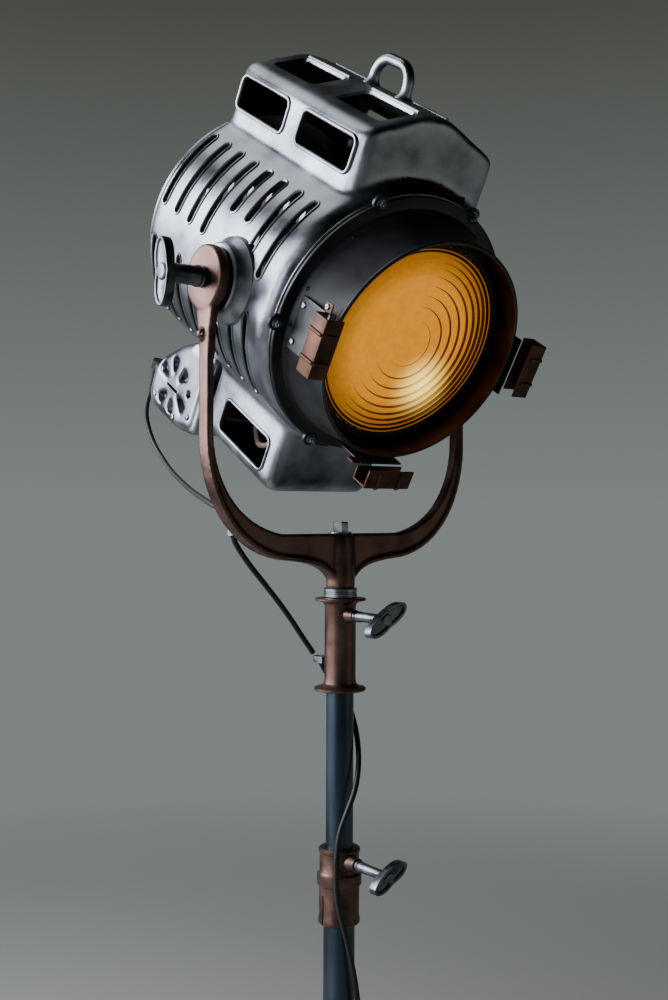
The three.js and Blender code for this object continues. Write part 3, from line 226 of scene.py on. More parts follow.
# Sinks a shallow recess into the faces a test picks by their normal. Sizes in millimetres.
def recessed(obj, test, rim, slope, depth, alone=False):
    edit(obj, "FACE", False)
    done()
    for f in obj.data.polygons:
        f.select = test(f.normal)
    bpy.ops.object.mode_set(mode="EDIT")
    bpy.ops.mesh.inset(thickness=rim * mm, depth=0, use_individual=alone)
    bpy.ops.mesh.inset(thickness=slope * mm, depth=-depth * mm, use_individual=alone)
    done()


def blockOf(name, low, high):
    deselect()
    middle = [(a + b) / 2 * mm for a, b in zip(low, high)]
    bpy.ops.mesh.primitive_cube_add(size=1)
    obj = bpy.context.object
    obj.name = name
    size = [(b - a) * mm for a, b in zip(low, high)]
    return moveMesh(obj, Matrix.Translation(middle) @ Matrix.Diagonal((*size, 1)))


def arc(centre, r, start, end, steps):
    found = []
    for i in range(steps + 1):
        a = radians(start + (end - start) * i / steps)
        found.append((centre[0] + r * cos(a), centre[1] + r * sin(a)))
    return found


def roundedRect(u0, u1, v0, v1, r, steps=6):
    return (
        arc((u1 - r, v0 + r), r, -90, 0, steps)
        + arc((u1 - r, v1 - r), r, 0, 90, steps)
        + arc((u0 + r, v1 - r), r, 90, 180, steps)
        + arc((u0 + r, v0 + r), r, 180, 270, steps)
    )


# A smooth line through the given points, evenly loose round its bends. Points are Vectors in metres.
def smoothLine(points, step):
    ends = [points[0] * 2 - points[1], *points, points[-1] * 2 - points[-2]]
    line = []
    for i in range(1, len(ends) - 2):
        a, b, c, d = ends[i - 1 : i + 3]
        t1 = (b - a).length ** 0.5
        t2 = t1 + (c - b).length ** 0.5
        t3 = t2 + (d - c).length ** 0.5
        count = max(1, round((c - b).length / step))
        for k in range(count):
            t = t1 + (t2 - t1) * k / count
            p = a * ((t1 - t) / t1) + b * (t / t1)
            q = b * ((t2 - t) / (t2 - t1)) + c * ((t - t1) / (t2 - t1))
            r = c * ((t3 - t) / (t3 - t2)) + d * ((t - t2) / (t3 - t2))
            pq = p * ((t2 - t) / t2) + q * (t / t2)
            qr = q * ((t3 - t) / (t3 - t1)) + r * ((t - t1) / (t3 - t1))
            line.append(pq * ((t2 - t) / (t2 - t1)) + qr * ((t - t1) / (t2 - t1)))
    return [*line, points[-1].copy()]


# A round bead or tube along points in metres.
def tubeAlong(name, points, radius, closed=False, roundness=3):
    deselect()
    data = bpy.data.curves.new(name, "CURVE")
    data.dimensions = "3D"
    data.bevel_depth = radius * mm
    data.bevel_resolution = roundness
    data.use_fill_caps = not closed
    spline = data.splines.new("POLY")
    spline.points.add(len(points) - 1)
    for p, q in zip(spline.points, points):
        p.co = (*q, 1)
    spline.use_cyclic_u = closed
    obj = bpy.data.objects.new(name, data)
    bpy.context.scene.collection.objects.link(obj)
    pick(obj)
    bpy.ops.object.convert(target="MESH")
    edit(bpy.context.object)
    welded(weldGap["tube"])
    return smoothShade(bpy.context.object, 50)


# A colour from its sRGB hex code, made linear.
def tint(code):
    parts = [int(code[i : i + 2], 16) / 255 for i in (0, 2, 4)]
    flat = [c / 12.92 if c <= 0.04045 else ((c + 0.055) / 1.055) ** 2.4 for c in parts]
    return (*flat, 1)


def addNode(tree, kind, settings=None, **links):
    node = tree.nodes.new("ShaderNode" + kind)
    for key, value in (settings or {}).items():
        if key in node.inputs:
            node.inputs[key].default_value = value
        else:
            setattr(node, key, value)
    for key, source in links.items():
        tree.links.new(source, node.inputs[key.replace("_", " ")])
    return node


def surface(name, **fixed):
    mat = bpy.data.materials.new(name)
    mat.use_nodes = True
    shader = mat.node_tree.nodes["Principled BSDF"]
    for key, value in fixed.items():
        shader.inputs[key.replace("_", " ")].default_value = value
    return mat, mat.node_tree, shader


# Noise in the piece's own space. The patch size is the real one in millimetres.
def clouds(tree, patchMm, detail=5.0, stretch=(1, 1, 1)):
    spot = addNode(tree, "TexCoord")
    turn = addNode(tree, "Mapping", {"Scale": stretch}, Vector=spot.outputs["Object"])
    return addNode(tree, "TexNoise", {"Scale": 1 / (patchMm * mm), "Detail": detail}, Vector=turn.outputs[0])


# The same noise as a ramp between two colours.
def patches(tree, patchMm, dark, light, low, high, **noiseValues):
    noise = clouds(tree, patchMm, **noiseValues)
    ramp = addNode(tree, "ValToRGB", Fac=noise.outputs["Fac"])
    ramp.color_ramp.elements[0].position = low
    ramp.color_ramp.elements[0].color = dark
    ramp.color_ramp.elements[1].position = high
    ramp.color_ramp.elements[1].color = light
    return noise, ramp


def roughened(tree, shader, noise, low, high):
    span = addNode(
        tree, "MapRange", {"To Min": low, "To Max": high, "From Min": 0.3, "From Max": 0.7},
        Value=noise.outputs["Fac"]
    )
    tree.links.new(span.outputs[0], shader.inputs["Roughness"])


def grained(tree, shader, grainMm, depthMm, strength, stretch=(1, 1, 1)):
    noise = clouds(tree, grainMm, detail=3.0, stretch=stretch)
    bump = addNode(tree, "Bump", {"Strength": strength, "Distance": depthMm * mm}, Height=noise.outputs["Fac"])
    tree.links.new(bump.outputs[0], shader.inputs["Normal"])


# A colour mix. Share and colours are each an output of a node or a fixed value.
def mixed(tree, share, first, second, blend="MIX"):
    node = addNode(tree, "Mix", {"data_type": "RGBA", "blend_type": blend})
    for place, value in ((0, share), (6, first), (7, second)):
        if isinstance(value, bpy.types.NodeSocket):
            tree.links.new(value, node.inputs[place])
        else:
            node.inputs[place].default_value = value
    return node.outputs[2]


# A finish: clouds between two tones, roughness that follows the clouds, and a fine grain.
# The patch is in millimetres, the grain is (size, depth, strength), and a run below 1 draws either out along z.
def finish(name, metal, patch, tones, rough, span=(0.3, 0.7), grain=None, patchRun=1, grainRun=1, **fixed):
    mat, tree, shader = surface(name, Metallic=metal, **fixed)
    cloud, ramp = patches(tree, patch, tint(tones[0]), tint(tones[1]), *span, stretch=(1, 1, patchRun))
    tree.links.new(ramp.outputs[0], shader.inputs["Base Color"])
    roughened(tree, shader, cloud, *rough)
    if grain:
        grained(tree, shader, *grain, stretch=(1, 1, grainRun))
    return mat


# Sand-cast aluminium, linished and hand polished, then left to tarnish, with small casting pits.
aluminium = finish(
    "polishedCastAluminium", 1.0, 55, ("54585d", "a0a5ab"), (0.26, 0.42), (0.3, 0.74), (7, 0.35, 0.35)
)
# The same casting on its inner walls, darker: painted shade.
insidePaintedShadeAluminium = finish("castAluminiumPaintedInsideShade", 0.6, 45, ("131211", "2a2522"), (0.55, 0.7), (0.3, 0.75))
# Brushed-on satin stove black over steel, rubbed thin on the round parts.
black = finish("satinStoveBlack", 0.35, 40, ("1a1b1d", "303235"), (0.36, 0.5), (0.35, 0.75), (2.5, 0.08, 0.4))
# Steel sheet that the lamp's heat has browned.
browned = finish("heatBrownedSteel", 0.85, 26, ("2a1b15", "6b4a3a"), (0.42, 0.6), (0.3, 0.72), (3, 0.1, 0.4))
# The inside of the snoot and the lens retainer: a warm brown that stands in for the lens's glow on them, a
# painted reflection.
snootInsidePaintedGlow = finish("paintedLensGlowBrown", 0.2, 30, ("1c0d06", "5a2f12"), (0.35, 0.5), (0.3, 0.75), (3, 0.1, 0.3))
# Cast bronze with a brown patina, its high places rubbed pinkish.
bronze = finish("agedBronze", 1.0, 34, ("43332e", "80645a"), (0.36, 0.52), (0.28, 0.74), (4, 0.16, 0.4))
# Turned and milled steel, handled for years.
steel = finish("wornSteel", 1.0, 15, ("5d6266", "9aa0a5"), (0.26, 0.42), (0.3, 0.72), (1.6, 0.04, 0.4))
# Steel castings with a dark oiled skin, bright where fingers rub.
darkSteel = finish("oiledDarkSteel", 1.0, 20, ("454a4f", "888e94"), (0.3, 0.46), (0.32, 0.78), (2.6, 0.08, 0.4))
# Cold-drawn steel tube with a blue oxide skin; faint lines run along it.
tube = finish(
    "bluedSteelTube", 1.0, 24, ("2c3640", "566472"), (0.3, 0.45), (0.3, 0.72), (2, 0.03, 0.4), 0.12, 0.08
)
# Matt moulded rubber.
rubber = finish("blackRubber", 0.0, 12, ("0d0d0e", "1d1d1f"), (0.55, 0.72), grain=(1.2, 0.06, 0.4))
# Soft PVC flex: smoother than rubber, with a dull shine.
flex = finish("blackFlexPvc", 0.0, 30, ("050506", "0e0e10"), (0.5, 0.62), grain=(2.2, 0.05, 0.3))
# Unglazed porcelain, slightly smoked.
ceramic = finish("smokedPorcelain", 0.0, 18, ("a89f8c", "ded6c5"), (0.5, 0.65))
# Spun aluminium mirror with a little haze.
mirror = finish("spunMirror", 1.0, 40, ("bfc2c4", "dfe1e2"), (0.08, 0.18))
# Woven glass-fibre cord, packed flat: 1.5 mm threads.
gasket = finish("wovenGlassFibre", 0.0, 6, ("6f6753", "a89d84"), (0.75, 0.9), grain=(1.5, 0.2, 0.6))
# Thin clear bulb glass.
clear = finish(
    "clearBulbGlass", 0.0, 30, ("e8e4da", "fbfaf6"), (0.04, 0.1), Transmission_Weight=0.9, IOR=1.5
)

# Painted light on the lens: where the painted hot spot of its painted glow sits, and how far the painted shade
# towards the edge reaches.
paintedLensGlow = {
    "middle": (0.0, -152.0, 4.0),  # of the lens face, in the head
    "paintedHotSpot": (44.0, -152.0, -48.0),
    "paintedHotSpotReach": 54.0,
    "paintedEdgeShadeReach": 128.0,
    "paintedHotSpotTone": "ffe478",
    "paintedHotSpotGain": 2.2,
}


# Pressed yellow-orange glass with a stippled back, with painted light on it: a glow of its own though it is no
# lamp, a painted hot spot, and painted shade towards its edge.
def amberGlassPaintedLight(name, dark, light, glow):
    mat, tree, shader = surface(name, Metallic=0.0, IOR=1.52, Transmission_Weight=0.1, Specular_IOR_Level=0.3)
    cloud, ramp = patches(tree, 9, tint(dark), tint(light), 0.3, 0.7, detail=8.0)
    spot = addNode(tree, "TexCoord")

    def nearness(key, reach):
        place = headPlace @ (Vector(paintedLensGlow[key]) * mm)
        gap = addNode(tree, "VectorMath", {"operation": "DISTANCE"})
        tree.links.new(spot.outputs["Object"], gap.inputs[0])
        gap.inputs[1].default_value = place
        return addNode(
            tree, "MapRange",
            {
                "From Min": 0.0, "From Max": paintedLensGlow[reach] * mm, "To Min": 1.0, "To Max": 0.0,
                "interpolation_type": "SMOOTHSTEP"
            },
            Value=gap.outputs["Value"]
        )

    hot = nearness("paintedHotSpot", "paintedHotSpotReach")
    wide = nearness("middle", "paintedEdgeShadeReach")
    # painted shade: the glass darkens towards its edge
    fade = addNode(
        tree, "MapRange", {"From Min": 0.0, "From Max": 0.35, "To Min": 0.35, "To Max": 1.0},
        Value=wide.outputs[0]
    )
    shade = mixed(tree, 1.0, ramp.outputs[0], fade.outputs[0], "MULTIPLY")
    # painted hot spot: the colour turns pale yellow round one spot
    paintedGlowColour = mixed(tree, hot.outputs[0], shade, tint(paintedLensGlow["paintedHotSpotTone"]))
    # the same painted colour is the glass's glow: a painted glow, stronger at the painted hot spot
    tree.links.new(paintedGlowColour, shader.inputs["Base Color"])
    tree.links.new(paintedGlowColour, shader.inputs["Emission Color"])
    strengths = {"To Min": glow, "To Max": glow * paintedLensGlow["paintedHotSpotGain"]}
    power = addNode(tree, "MapRange", strengths, Value=hot.outputs[0])
    tree.links.new(power.outputs[0], shader.inputs["Emission Strength"])
    roughened(tree, shader, cloud, 0.22, 0.32)
    grained(tree, shader, 1.5, 0.12, 0.5)
    return mat


# The front of the lens, with the painted glow and the painted hot spot.
amberPaintedGlow = amberGlassPaintedLight("amberGlassPaintedGlow", "e08a0e", "eb9a18", 0.9)
# A darker, barely glowing copy for the risers: painted shade lines between the rings.
amberRiserPaintedShade = amberGlassPaintedLight("amberGlassPaintedRiserShade", "522804", "703a08", 0.2)
# A dark copy for the lens's back face: painted shade.
amberBackPaintedShade = amberGlassPaintedLight("amberGlassPaintedBackShade", "4a2c0c", "5e3a12", 0.02)


def coat(obj, *mats):
    obj.data.materials.clear()
    for m in mats:
        obj.data.materials.append(m)
    return obj


# A second finish on the faces a test picks.
def lined(obj, test, index=1):
    for face in obj.data.polygons:
        if test(face.center / mm, face.normal):
            face.material_index = index
    return obj


# The last step for each piece: into its place, its finish, its body and the CAD nodes it stands for.
def fit(obj, place, body, nodes=(), mats=()):
    if place is not None:
        moveMesh(obj, place)
    if mats:
        coat(obj, *mats)
    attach(obj, body)
    if nodes:
        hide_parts(*nodes)
    return obj


def onHead(obj, slotName, mat, *nodes):
    return fit(obj, headPlace, "head", nodes, [mat])


def onYoke(obj, slotName, mat, *nodes):
    return fit(obj, yokePlace, "yoke", nodes, [mat])


def onCarriage(obj, slotName, mat, *nodes):
    return fit(obj, headPlace, "focus_carriage", nodes, [mat])


def onPole(obj, body, slotName, mat, *nodes):
    return fit(obj, polePlace, body, nodes, [mat])


print("materials made")

# Camera
shot = {
    "place": (-0.93293, -1.14446, 1.45459),
    "yaw": -37.438,
    "pitch": 0.376,
    "roll": 0.24,
    "lens": 42.957,
    "film": 36.0,
}
camData = bpy.data.cameras.new("camera")
camData.lens = shot["lens"]
camData.sensor_width = shot["film"]
camera = bpy.data.objects.new("camera", camData)
turn = (
    Matrix.Rotation(radians(shot["yaw"]), 4, "Z")
    @ Matrix.Rotation(radians(90 + shot["pitch"]), 4, "X")
    @ Matrix.Rotation(radians(shot["roll"]), 4, "Z")
)
camera.matrix_world = Matrix.Translation(shot["place"]) @ turn
bpy.context.scene.collection.objects.link(camera)
bpy.context.scene.camera = camera

# Mains cord: gland to yoke clip, yoke clip to sleeve clip, sleeve clip to the floor and into its coil
flexCable = {
    "radius": 3.5,
    "step": 8.0,
    "viewTurn": -37.4,
    "coilAcross": 206.0,
    "coilTowards": -8.4,
    "coilRadii": (45.5, 38.5),  # the outer turn and the next; the third steps in as much again
    "coilTurns": 5.25,
    "plugRise": 13.0,
    "plugBack": 29.0,
}
glandSpot = {"x": -68.0, "y": 273.3, "z": -252.0, "relief": 26.0, "gap": 0.3}


def sideways(across, towards, z):
    a = radians(flexCable["viewTurn"])
    return (
        across * cos(a) + towards * sin(a),
        across * sin(a) - towards * cos(a),
        z,
    )


def headCordPoints():
    tip = Vector((glandSpot["x"], glandSpot["y"], glandSpot["z"] - glandSpot["relief"] - glandSpot["gap"]))
    leadOut = [headPlace @ ((tip + Vector((0, 0, -d))) * mm) for d in (0, 18)]
    rest = [
        (-66.5, 392.5, -131), (-64.5, 390, -149), (-63.5, 381, -166), (-64, 366, -182), (-67, 340, -200),
        (-75, 303, -217), (-88, 257, -231), (-106.8, 195, -246), (-128.5, 126, -259), (-141.5, 78, -268),
        (-146.5, 40, -277), (-147.3, 29, -285.5), (-147, 24, -297),
    ]
    return leadOut + [yokePlace @ (Vector(p) * mm) for p in rest]


def yokeCordPoints():
    route = [
        (-147, 24, -305), (-144, 24.5, -313), (-137, 25.2, -322.5), (-121, 27, -341), (-97, 30, -365),
        (-72, 33, -390.5), (-50, 36, -414.5), (-32, 38.5, -436), (-14, 39, -458),
    ]
    return [yokePlace @ (Vector(p) * mm) for p in route]


def standCordPoints():
    route = [
        (-24.5, -31, 1253), (-18, -37, 1240), (-6, -40, 1226), (6, -35, 1210), (15, -23, 1190), (22, -7, 1162),
        (24, 8, 1130), (19, 23, 1100), (9, 31, 1074), (1, 34, 1052), (-3, 35, 1028), (-4, 35, 1000),
        (-3, 35, 972), (1, 34, 948), (8, 32, 922), (15, 28, 890), (21, 21, 856), (25, 14, 822), (30, 10, 780),
        (36, 8, 730), (43, 6, 680), (48, 5, 620), (50, 5, 540), (51, 5, 450), (52, 5, 350), (53, 5, 250),
        (55, 5, 160), (57, 5, 104), (63, 6, 58), (78, 9, 24), (102, 15, 6.5), (128, 24, 3.5), (154, 32, 3.5),
        (182, 36.6, 3.5),
    ]
    return [polePlace @ (Vector(sideways(*p)) * mm) for p in route]


# How far a change has gone between two places on the coil, counted in turns.
def eased(t, start, end):
    s = min(1, max(0, (t - start) / (end - start)))
    return s * s * (3 - 2 * s)


def coilPoints():
    wide, middle = flexCable["coilRadii"]
    step = wide - middle
    found = []
    count = round(flexCable["coilTurns"] * 24)
    for i in range(count + 1):
        t = flexCable["coilTurns"] * i / count
        inwards = eased(t, 0.83, 1.0) + eased(t, 1.83, 2.0)
        outwards = eased(t, 3.5, 3.67) + eased(t, 4.5, 4.67)
        r = wide - step * (inwards - outwards)
        z = flexCable["radius"] * (1 + 2 * eased(t, 2.64, 2.83))
        a = radians(90 - 360 * t)
        across = flexCable["coilAcross"] + r * cos(a)
        towards = flexCable["coilTowards"] + r * sin(a)
        found.append(polePlace @ (Vector(sideways(across, towards, z)) * mm))
    end = sideways(
        flexCable["coilAcross"] + wide,
        flexCable["coilTowards"] - flexCable["plugBack"] - 1,
        flexCable["plugRise"],
    )
    half = sideways(
        flexCable["coilAcross"] + wide,
        flexCable["coilTowards"] - flexCable["plugBack"] * 0.5,
        flexCable["plugRise"] - 1.2,
    )
    return found + [polePlace @ (Vector(half) * mm), polePlace @ (Vector(end) * mm)]


def lengthOf(line):
    return sum((b - a).length for a, b in zip(line, line[1:]))


def cordPiece(name, points, nodes):
    line = smoothLine(points, flexCable["step"] * mm)
    obj = tubeAlong(name, line, flexCable["radius"], roundness=4)
    coat(obj, flex)
    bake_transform(obj)
    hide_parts(*nodes)
    print(name, "length", round(lengthOf(line), 3))
    return obj


def plugPiece():
    size = {
        "gripFoot": 36, "grip": 38, "halfWide": 17, "thick": 25.6, "pinFoot": 72, "pinR": 2.4, "pinLength": 19,
        "pinGap": 9.5
    }
    axis = flexCable["plugRise"]
    relief = turned("plug", "y", [
        (0, 0), (4.2, 0), (4.6, 4), (4.2, 6), (5.0, 10), (4.6, 12), (5.6, 17), (5.2, 19),
        (6.2, 24), (5.8, 26), (7, 32), (7.4, 38), (0, 38),
    ], centre=(0, axis), steps=32, shade=50)
    foot = size["gripFoot"]
    grip = blockOf(
        "grip", (-size["halfWide"], foot, 0.2), (size["halfWide"], foot + size["grip"], size["thick"])
    )
    # narrower where the cord leaves than at the pins
    for v in grip.data.vertices:
        v.co.x *= 0.86 if v.co.y > 70 * mm else 0.74
    bevelled(grip, 5, 4)
    smoothShade(grip)
    parts = [relief, grip]
    for x in (-size["pinGap"], size["pinGap"]):
        y, r, tip = size["pinFoot"], size["pinR"], size["pinFoot"] + size["pinLength"]
        pin = turned(
            "pin", "y", [(0, y), (r, y), (r, tip), (r - 0.8, tip + 2), (0, tip + 2.4)], centre=(x, axis),
            steps=20
        )
        coat(pin, steel)
        parts.append(pin)
    for k in range(3):
        rib = blockOf("rib", (-9, 46 + k * 7, size["thick"] - 1), (9, 49 + k * 7, size["thick"] + 0.2))
        bevelled(rib, 0.7, 2)
        parts.append(rib)
    for p in parts:
        if not p.data.materials:
            coat(p, rubber)
    plug = together("mainsPlug", *parts)
    spot = sideways(
        flexCable["coilAcross"] + flexCable["coilRadii"][0],
        flexCable["coilTowards"] - flexCable["plugBack"],
        0,
    )
    place = polePlace @ Matrix.Translation(Vector(spot) * mm)
    place = place @ Matrix.Rotation(radians(flexCable["viewTurn"]), 4, "Z")
    return fit(plug, place, "stand", ["mains_plug"])


plug = plugPiece()
headLine = headCordPoints()
yokeLine = yokeCordPoints()
standLine = standCordPoints() + coilPoints()
cordPiece(
    "mainsCordHead", headLine, ["mains_cord_head"],
)
cordPiece(
    "mainsCordYoke", yokeLine, ["mains_cord_yoke"],
)
cordPiece(
    "mainsCordStand", standLine, ["mains_cord_stand", "mains_cord_coil"],
)
print("cords laid")

# Floor and light
# The floor is pale near the lamp and fades into the backdrop far away, so that no horizon shows.
studio = {
    "floor": 60.0,
    "fadeStart": 1.6,
    "fadeEnd": 5.0,
    "tone": "a4a5a0",
    "low": "7d8583",
    "middle": "6f7573",
    "high": "45463f",
    "zenith": "25262a",
    "inFront": 0.07,
    "side": 0.42,
    "middleAt": 0.14,
    "highAt": 0.42,
    "floorShine": 0.4,
}


# How much light the backdrop gives from a direction: full behind the lamp, little from in front of it.
def backdropShare(tree, heading):
    parts = addNode(tree, "SeparateXYZ", Vector=heading)
    share = addNode(tree, "ValToRGB")
    lift = addNode(tree, "MapRange", {"From Min": -1.0, "From Max": 1.0}, Value=parts.outputs["Y"])
    tree.links.new(lift.outputs[0], share.inputs[0])
    ramp = share.color_ramp
    ramp.elements[0].position, ramp.elements[0].color = 0.25, (*[studio["inFront"]] * 3, 1)
    ramp.elements[1].position, ramp.elements[1].color = 0.78, (1, 1, 1, 1)
    middle = ramp.elements.new(0.5)
    middle.color = (*[studio["side"]] * 3, 1)
    return parts, share


bpy.ops.mesh.primitive_plane_add(size=studio["floor"])
floor = bpy.context.object
floor.name = "floor"
floorMat, floorTree, floorShader = surface("paleStudioFloor", Roughness=0.7)
ground = addNode(floorTree, "TexCoord")
reach = addNode(floorTree, "VectorMath", {"operation": "LENGTH"})
floorTree.links.new(ground.outputs["Object"], reach.inputs[0])
fade = addNode(
    floorTree, "MapRange",
    {"From Min": studio["fadeStart"], "From Max": studio["fadeEnd"], "interpolation_type": "SMOOTHSTEP"},
    Value=reach.outputs["Value"]
)
near = mixed(floorTree, fade.outputs[0], tint(studio["tone"]), (0, 0, 0, 1))
floorTree.links.new(near, floorShader.inputs["Base Color"])
floorShader.inputs["Emission Color"].default_value = tint(studio["low"])
floorTree.links.new(fade.outputs[0], floorShader.inputs["Emission Strength"])
shine = addNode(floorTree, "MapRange", {"To Min": studio["floorShine"], "To Max": 0.0}, Value=fade.outputs[0])
floorTree.links.new(shine.outputs[0], floorShader.inputs["Specular IOR Level"])
coat(floor, floorMat)

world = bpy.data.worlds.new("studio")
world.use_nodes = True
sky = world.node_tree
skyWay = addNode(sky, "TexCoord")
parts, share = backdropShare(sky, skyWay.outputs["Generated"])
height = addNode(sky, "MapRange", {"From Min": 0.0, "From Max": 1.0}, Value=parts.outputs["Z"])
tone = addNode(sky, "ValToRGB", Fac=height.outputs[0])
tone.color_ramp.elements[0].position, tone.color_ramp.elements[0].color = 0.0, tint(studio["low"])
tone.color_ramp.elements[1].position, tone.color_ramp.elements[1].color = 1.0, tint(studio["zenith"])
for key in ("middle", "high"):
    stop = tone.color_ramp.elements.new(studio[key + "At"])
    stop.color = tint(studio[key])
# the backdrop itself is even all round: only its light on the lamp is one-sided
seen = addNode(sky, "LightPath")
evenly = mixed(sky, seen.outputs["Is Camera Ray"], share.outputs[0], (1, 1, 1, 1))
both = mixed(sky, 1.0, tone.outputs[0], evenly, "MULTIPLY")
sky.links.new(both, sky.nodes["Background"].inputs["Color"])
bpy.context.scene.world = world


def softLight(name, place, aim, size, power, colour):
    data = bpy.data.lights.new(name, "AREA")
    data.shape = "RECTANGLE"
    data.size, data.size_y = size
    data.energy = power
    data.color = tint(colour)[:3]
    lamp = bpy.data.objects.new(name, data)
    lamp.location = place
    lamp.rotation_euler = (Vector(aim) - Vector(place)).to_track_quat("-Z", "Y").to_euler()
    bpy.context.scene.collection.objects.link(lamp)


softLight("windowLight", (-2.4, 2.0, 2.6), (0, 0.1, 1.7), (2.0, 2.4), 250, "f4f6ff")
softLight("sideLight", (-3.2, 0.2, 1.9), (0, 0.1, 1.6), (0.7, 1.8), 40, "f4f6ff")
softLight("topLight", (-0.6, 1.2, 4.2), (0, 0.1, 1.7), (1.2, 1.2), 14, "ffffff")
softLight("fillLight", (1.8, -2.6, 1.4), (0, 0.1, 1.5), (1.6, 1.6), 3, "fff4e6")
print("studio set")

# The lamp's housing: one casting of barrel, hood and skirt
drum = {
    "rise": 4.0,  # optical axis above the tilt axis
    "radius": 171.0,
    "face": -106.0,
    "front": -92.0,
    "rear": 230.0,
    "lip": 18.0,
    "wall": 4.0,
    "grain": 3.6,
    "rubs": 26,
    "slotCount": 8,
    "slotPitch": 36.3,
    "slotWidth": 12.0,
    "slotRear": 199.5,
    "slotTop": 42.9,
    "slotEnd": 9.2,
    "slotShortEnd": 24.0,
    "shortSlots": (4, 5),
    "bead": 1.7,
    "cutReach": 16.0,
}
lensAxis = (0, drum["rise"])
hoodSize = {
    "half": 101.0,
    "front": -87.0,
    "rear": 223.0,
    "edge": 219.0,
    "spine": 250.0,
    "spineHalf": 17.0,
    "lean": 16.0,  # how far the front steps back at the spine
    "windowYs": (-3.0, 148.0),
    "windowLength": 115.0,
    "windowFoot": 165.0,
    "windowHead": 204.0,
}
skirtSize = {
    "half": 81.0,
    "front": -89.0,
    "rear": 101.0,
    "foot": -245.0,
    "windowYs": (-59.0, 56.0),
    "windowZs": (-224.0, -181.0),
}


# A point on a circle round the lens axis, in metres.
def roundLens(r, angle, y):
    return Vector((r * cos(angle), y, drum["rise"] + r * sin(angle))) * mm


def barrelProfile():
    r, rear, face = drum["radius"], drum["rear"], drum["face"]
    return [
        (0, face), (r - 19, face), (r - 9, face + 4), (r - 2.5, face + 11), (r, face + 20),
        (r, rear - 20), (r - 2.5, rear - 10), (r - 9, rear - 3), (r - 19, rear), (0, rear),
    ]


def hoodBlock():
    h = hoodSize
    outline = [
        (-h["half"], 60), (h["half"], 60), (h["half"], h["edge"] - 8), (h["half"] - 12, h["edge"] + 3),
        (h["spineHalf"], h["spine"]), (-h["spineHalf"], h["spine"]),
        (-h["half"] + 12, h["edge"] + 3), (-h["half"], h["edge"] - 8),
    ]
    block = pushed("hood", "y", outline, h["front"], h["rear"])
    for v in block.data.vertices:
        if v.co.y < 0:
            up = max(0, v.co.z / mm - 180) / (h["spine"] - 180)
            v.co.y += h["lean"] * up * mm
    edit(block, "EDGE", False)
    done()
    for e in block.data.edges:
        a, b = (block.data.vertices[i].co for i in e.vertices)
        upright = abs(a.z - b.z) > 100 * mm and abs(a.x) > 80 * mm
        e.select = upright
    bpy.ops.object.mode_set(mode="EDIT")
    bpy.ops.mesh.bevel(offset=26 * mm, segments=6, offset_type="OFFSET")
    done()
    return block


def slotCutter(name, low, reach):
    outside = arc((0, drum["rise"]), drum["radius"] + reach, low, drum["slotTop"], 8)
    inside = arc((0, drum["rise"]), drum["radius"] - reach, drum["slotTop"], low, 8)
    half = drum["slotWidth"] / 2
    return pushed(name, "y", outside + inside, -half, half)


# Each slot stands on one side, above or below: copies of one are mirrored to the four quarters.
def quarter(side, up, y):
    flip = Matrix.Diagonal((side, 1, up, 1))
    lift = Matrix.Translation((0, 0, drum["rise"] * mm))
    return Matrix.Translation((0, y * mm, 0)) @ lift @ flip @ lift.inverted()


def slotPlaces():
    found = []
    for side in (-1, 1):
        for up in (-1, 1):
            for k in range(drum["slotCount"]):
                found.append((side, up, drum["slotRear"] - k * drum["slotPitch"], k in drum["shortSlots"]))
    return found


def slotEnd(angle, reach):
    a = radians(angle)
    middle = Vector((drum["radius"] * cos(a), 0, drum["rise"] + drum["radius"] * sin(a))) * mm
    deselect()
    bpy.ops.mesh.primitive_cylinder_add(radius=drum["slotWidth"] / 2 * mm, depth=2 * reach * mm, vertices=24)
    peg = bpy.context.object
    return moveMesh(peg, Matrix.Translation(middle) @ Matrix.Rotation(pi / 2 - a, 4, "Y"))


def cutSlots(shell):
    reach = drum["cutReach"]
    for build in (
        lambda short: slotCutter("slot", drum["slotShortEnd"] if short else drum["slotEnd"], reach),
        lambda short: slotEnd(drum["slotTop"], reach),
        lambda short: slotEnd(drum["slotShortEnd"] if short else drum["slotEnd"], reach),
    ):
        masters = {False: build(False), True: build(True)}
        copies = [
            newCopy(masters[short], "cutter", quarter(side, up, y)) for side, up, y, short in slotPlaces()
        ]
        for master in masters.values():
            bpy.data.objects.remove(master)
        boolean(shell, together("cutters", *copies))
    return shell


def slotBead(short):
    low = drum["slotShortEnd"] if short else drum["slotEnd"]
    half = drum["slotWidth"] / 2 + drum["bead"] * 0.6
    r = drum["radius"] - 0.2
    turnMm = degrees(half / r)
    flat = [(a, half) for a in [low + (drum["slotTop"] - low) * i / 12 for i in range(13)]]
    flat += [(drum["slotTop"] + turnMm * sin(t), half * cos(t)) for t in [pi * i / 8 for i in range(1, 8)]]
    flat += [(a, -half) for a in [drum["slotTop"] - (drum["slotTop"] - low) * i / 12 for i in range(13)]]
    flat += [(low - turnMm * sin(t), -half * cos(t)) for t in [pi * i / 8 for i in range(1, 8)]]
    points = [roundLens(r, radians(a), y) for a, y in flat]
    return tubeAlong("slotBead", points, drum["bead"], closed=True, roundness=1)


def rectBead(name, axis, place, u0, u1, v0, v1, r, thick):
    points = []
    for u, v in roundedRect(u0, u1, v0, v1, r, 5):
        spot = {"x": (place, u, v), "z": (u, v, place)}[axis]
        points.append(Vector(spot) * mm)
    return tubeAlong(name, points, thick, closed=True, roundness=2)


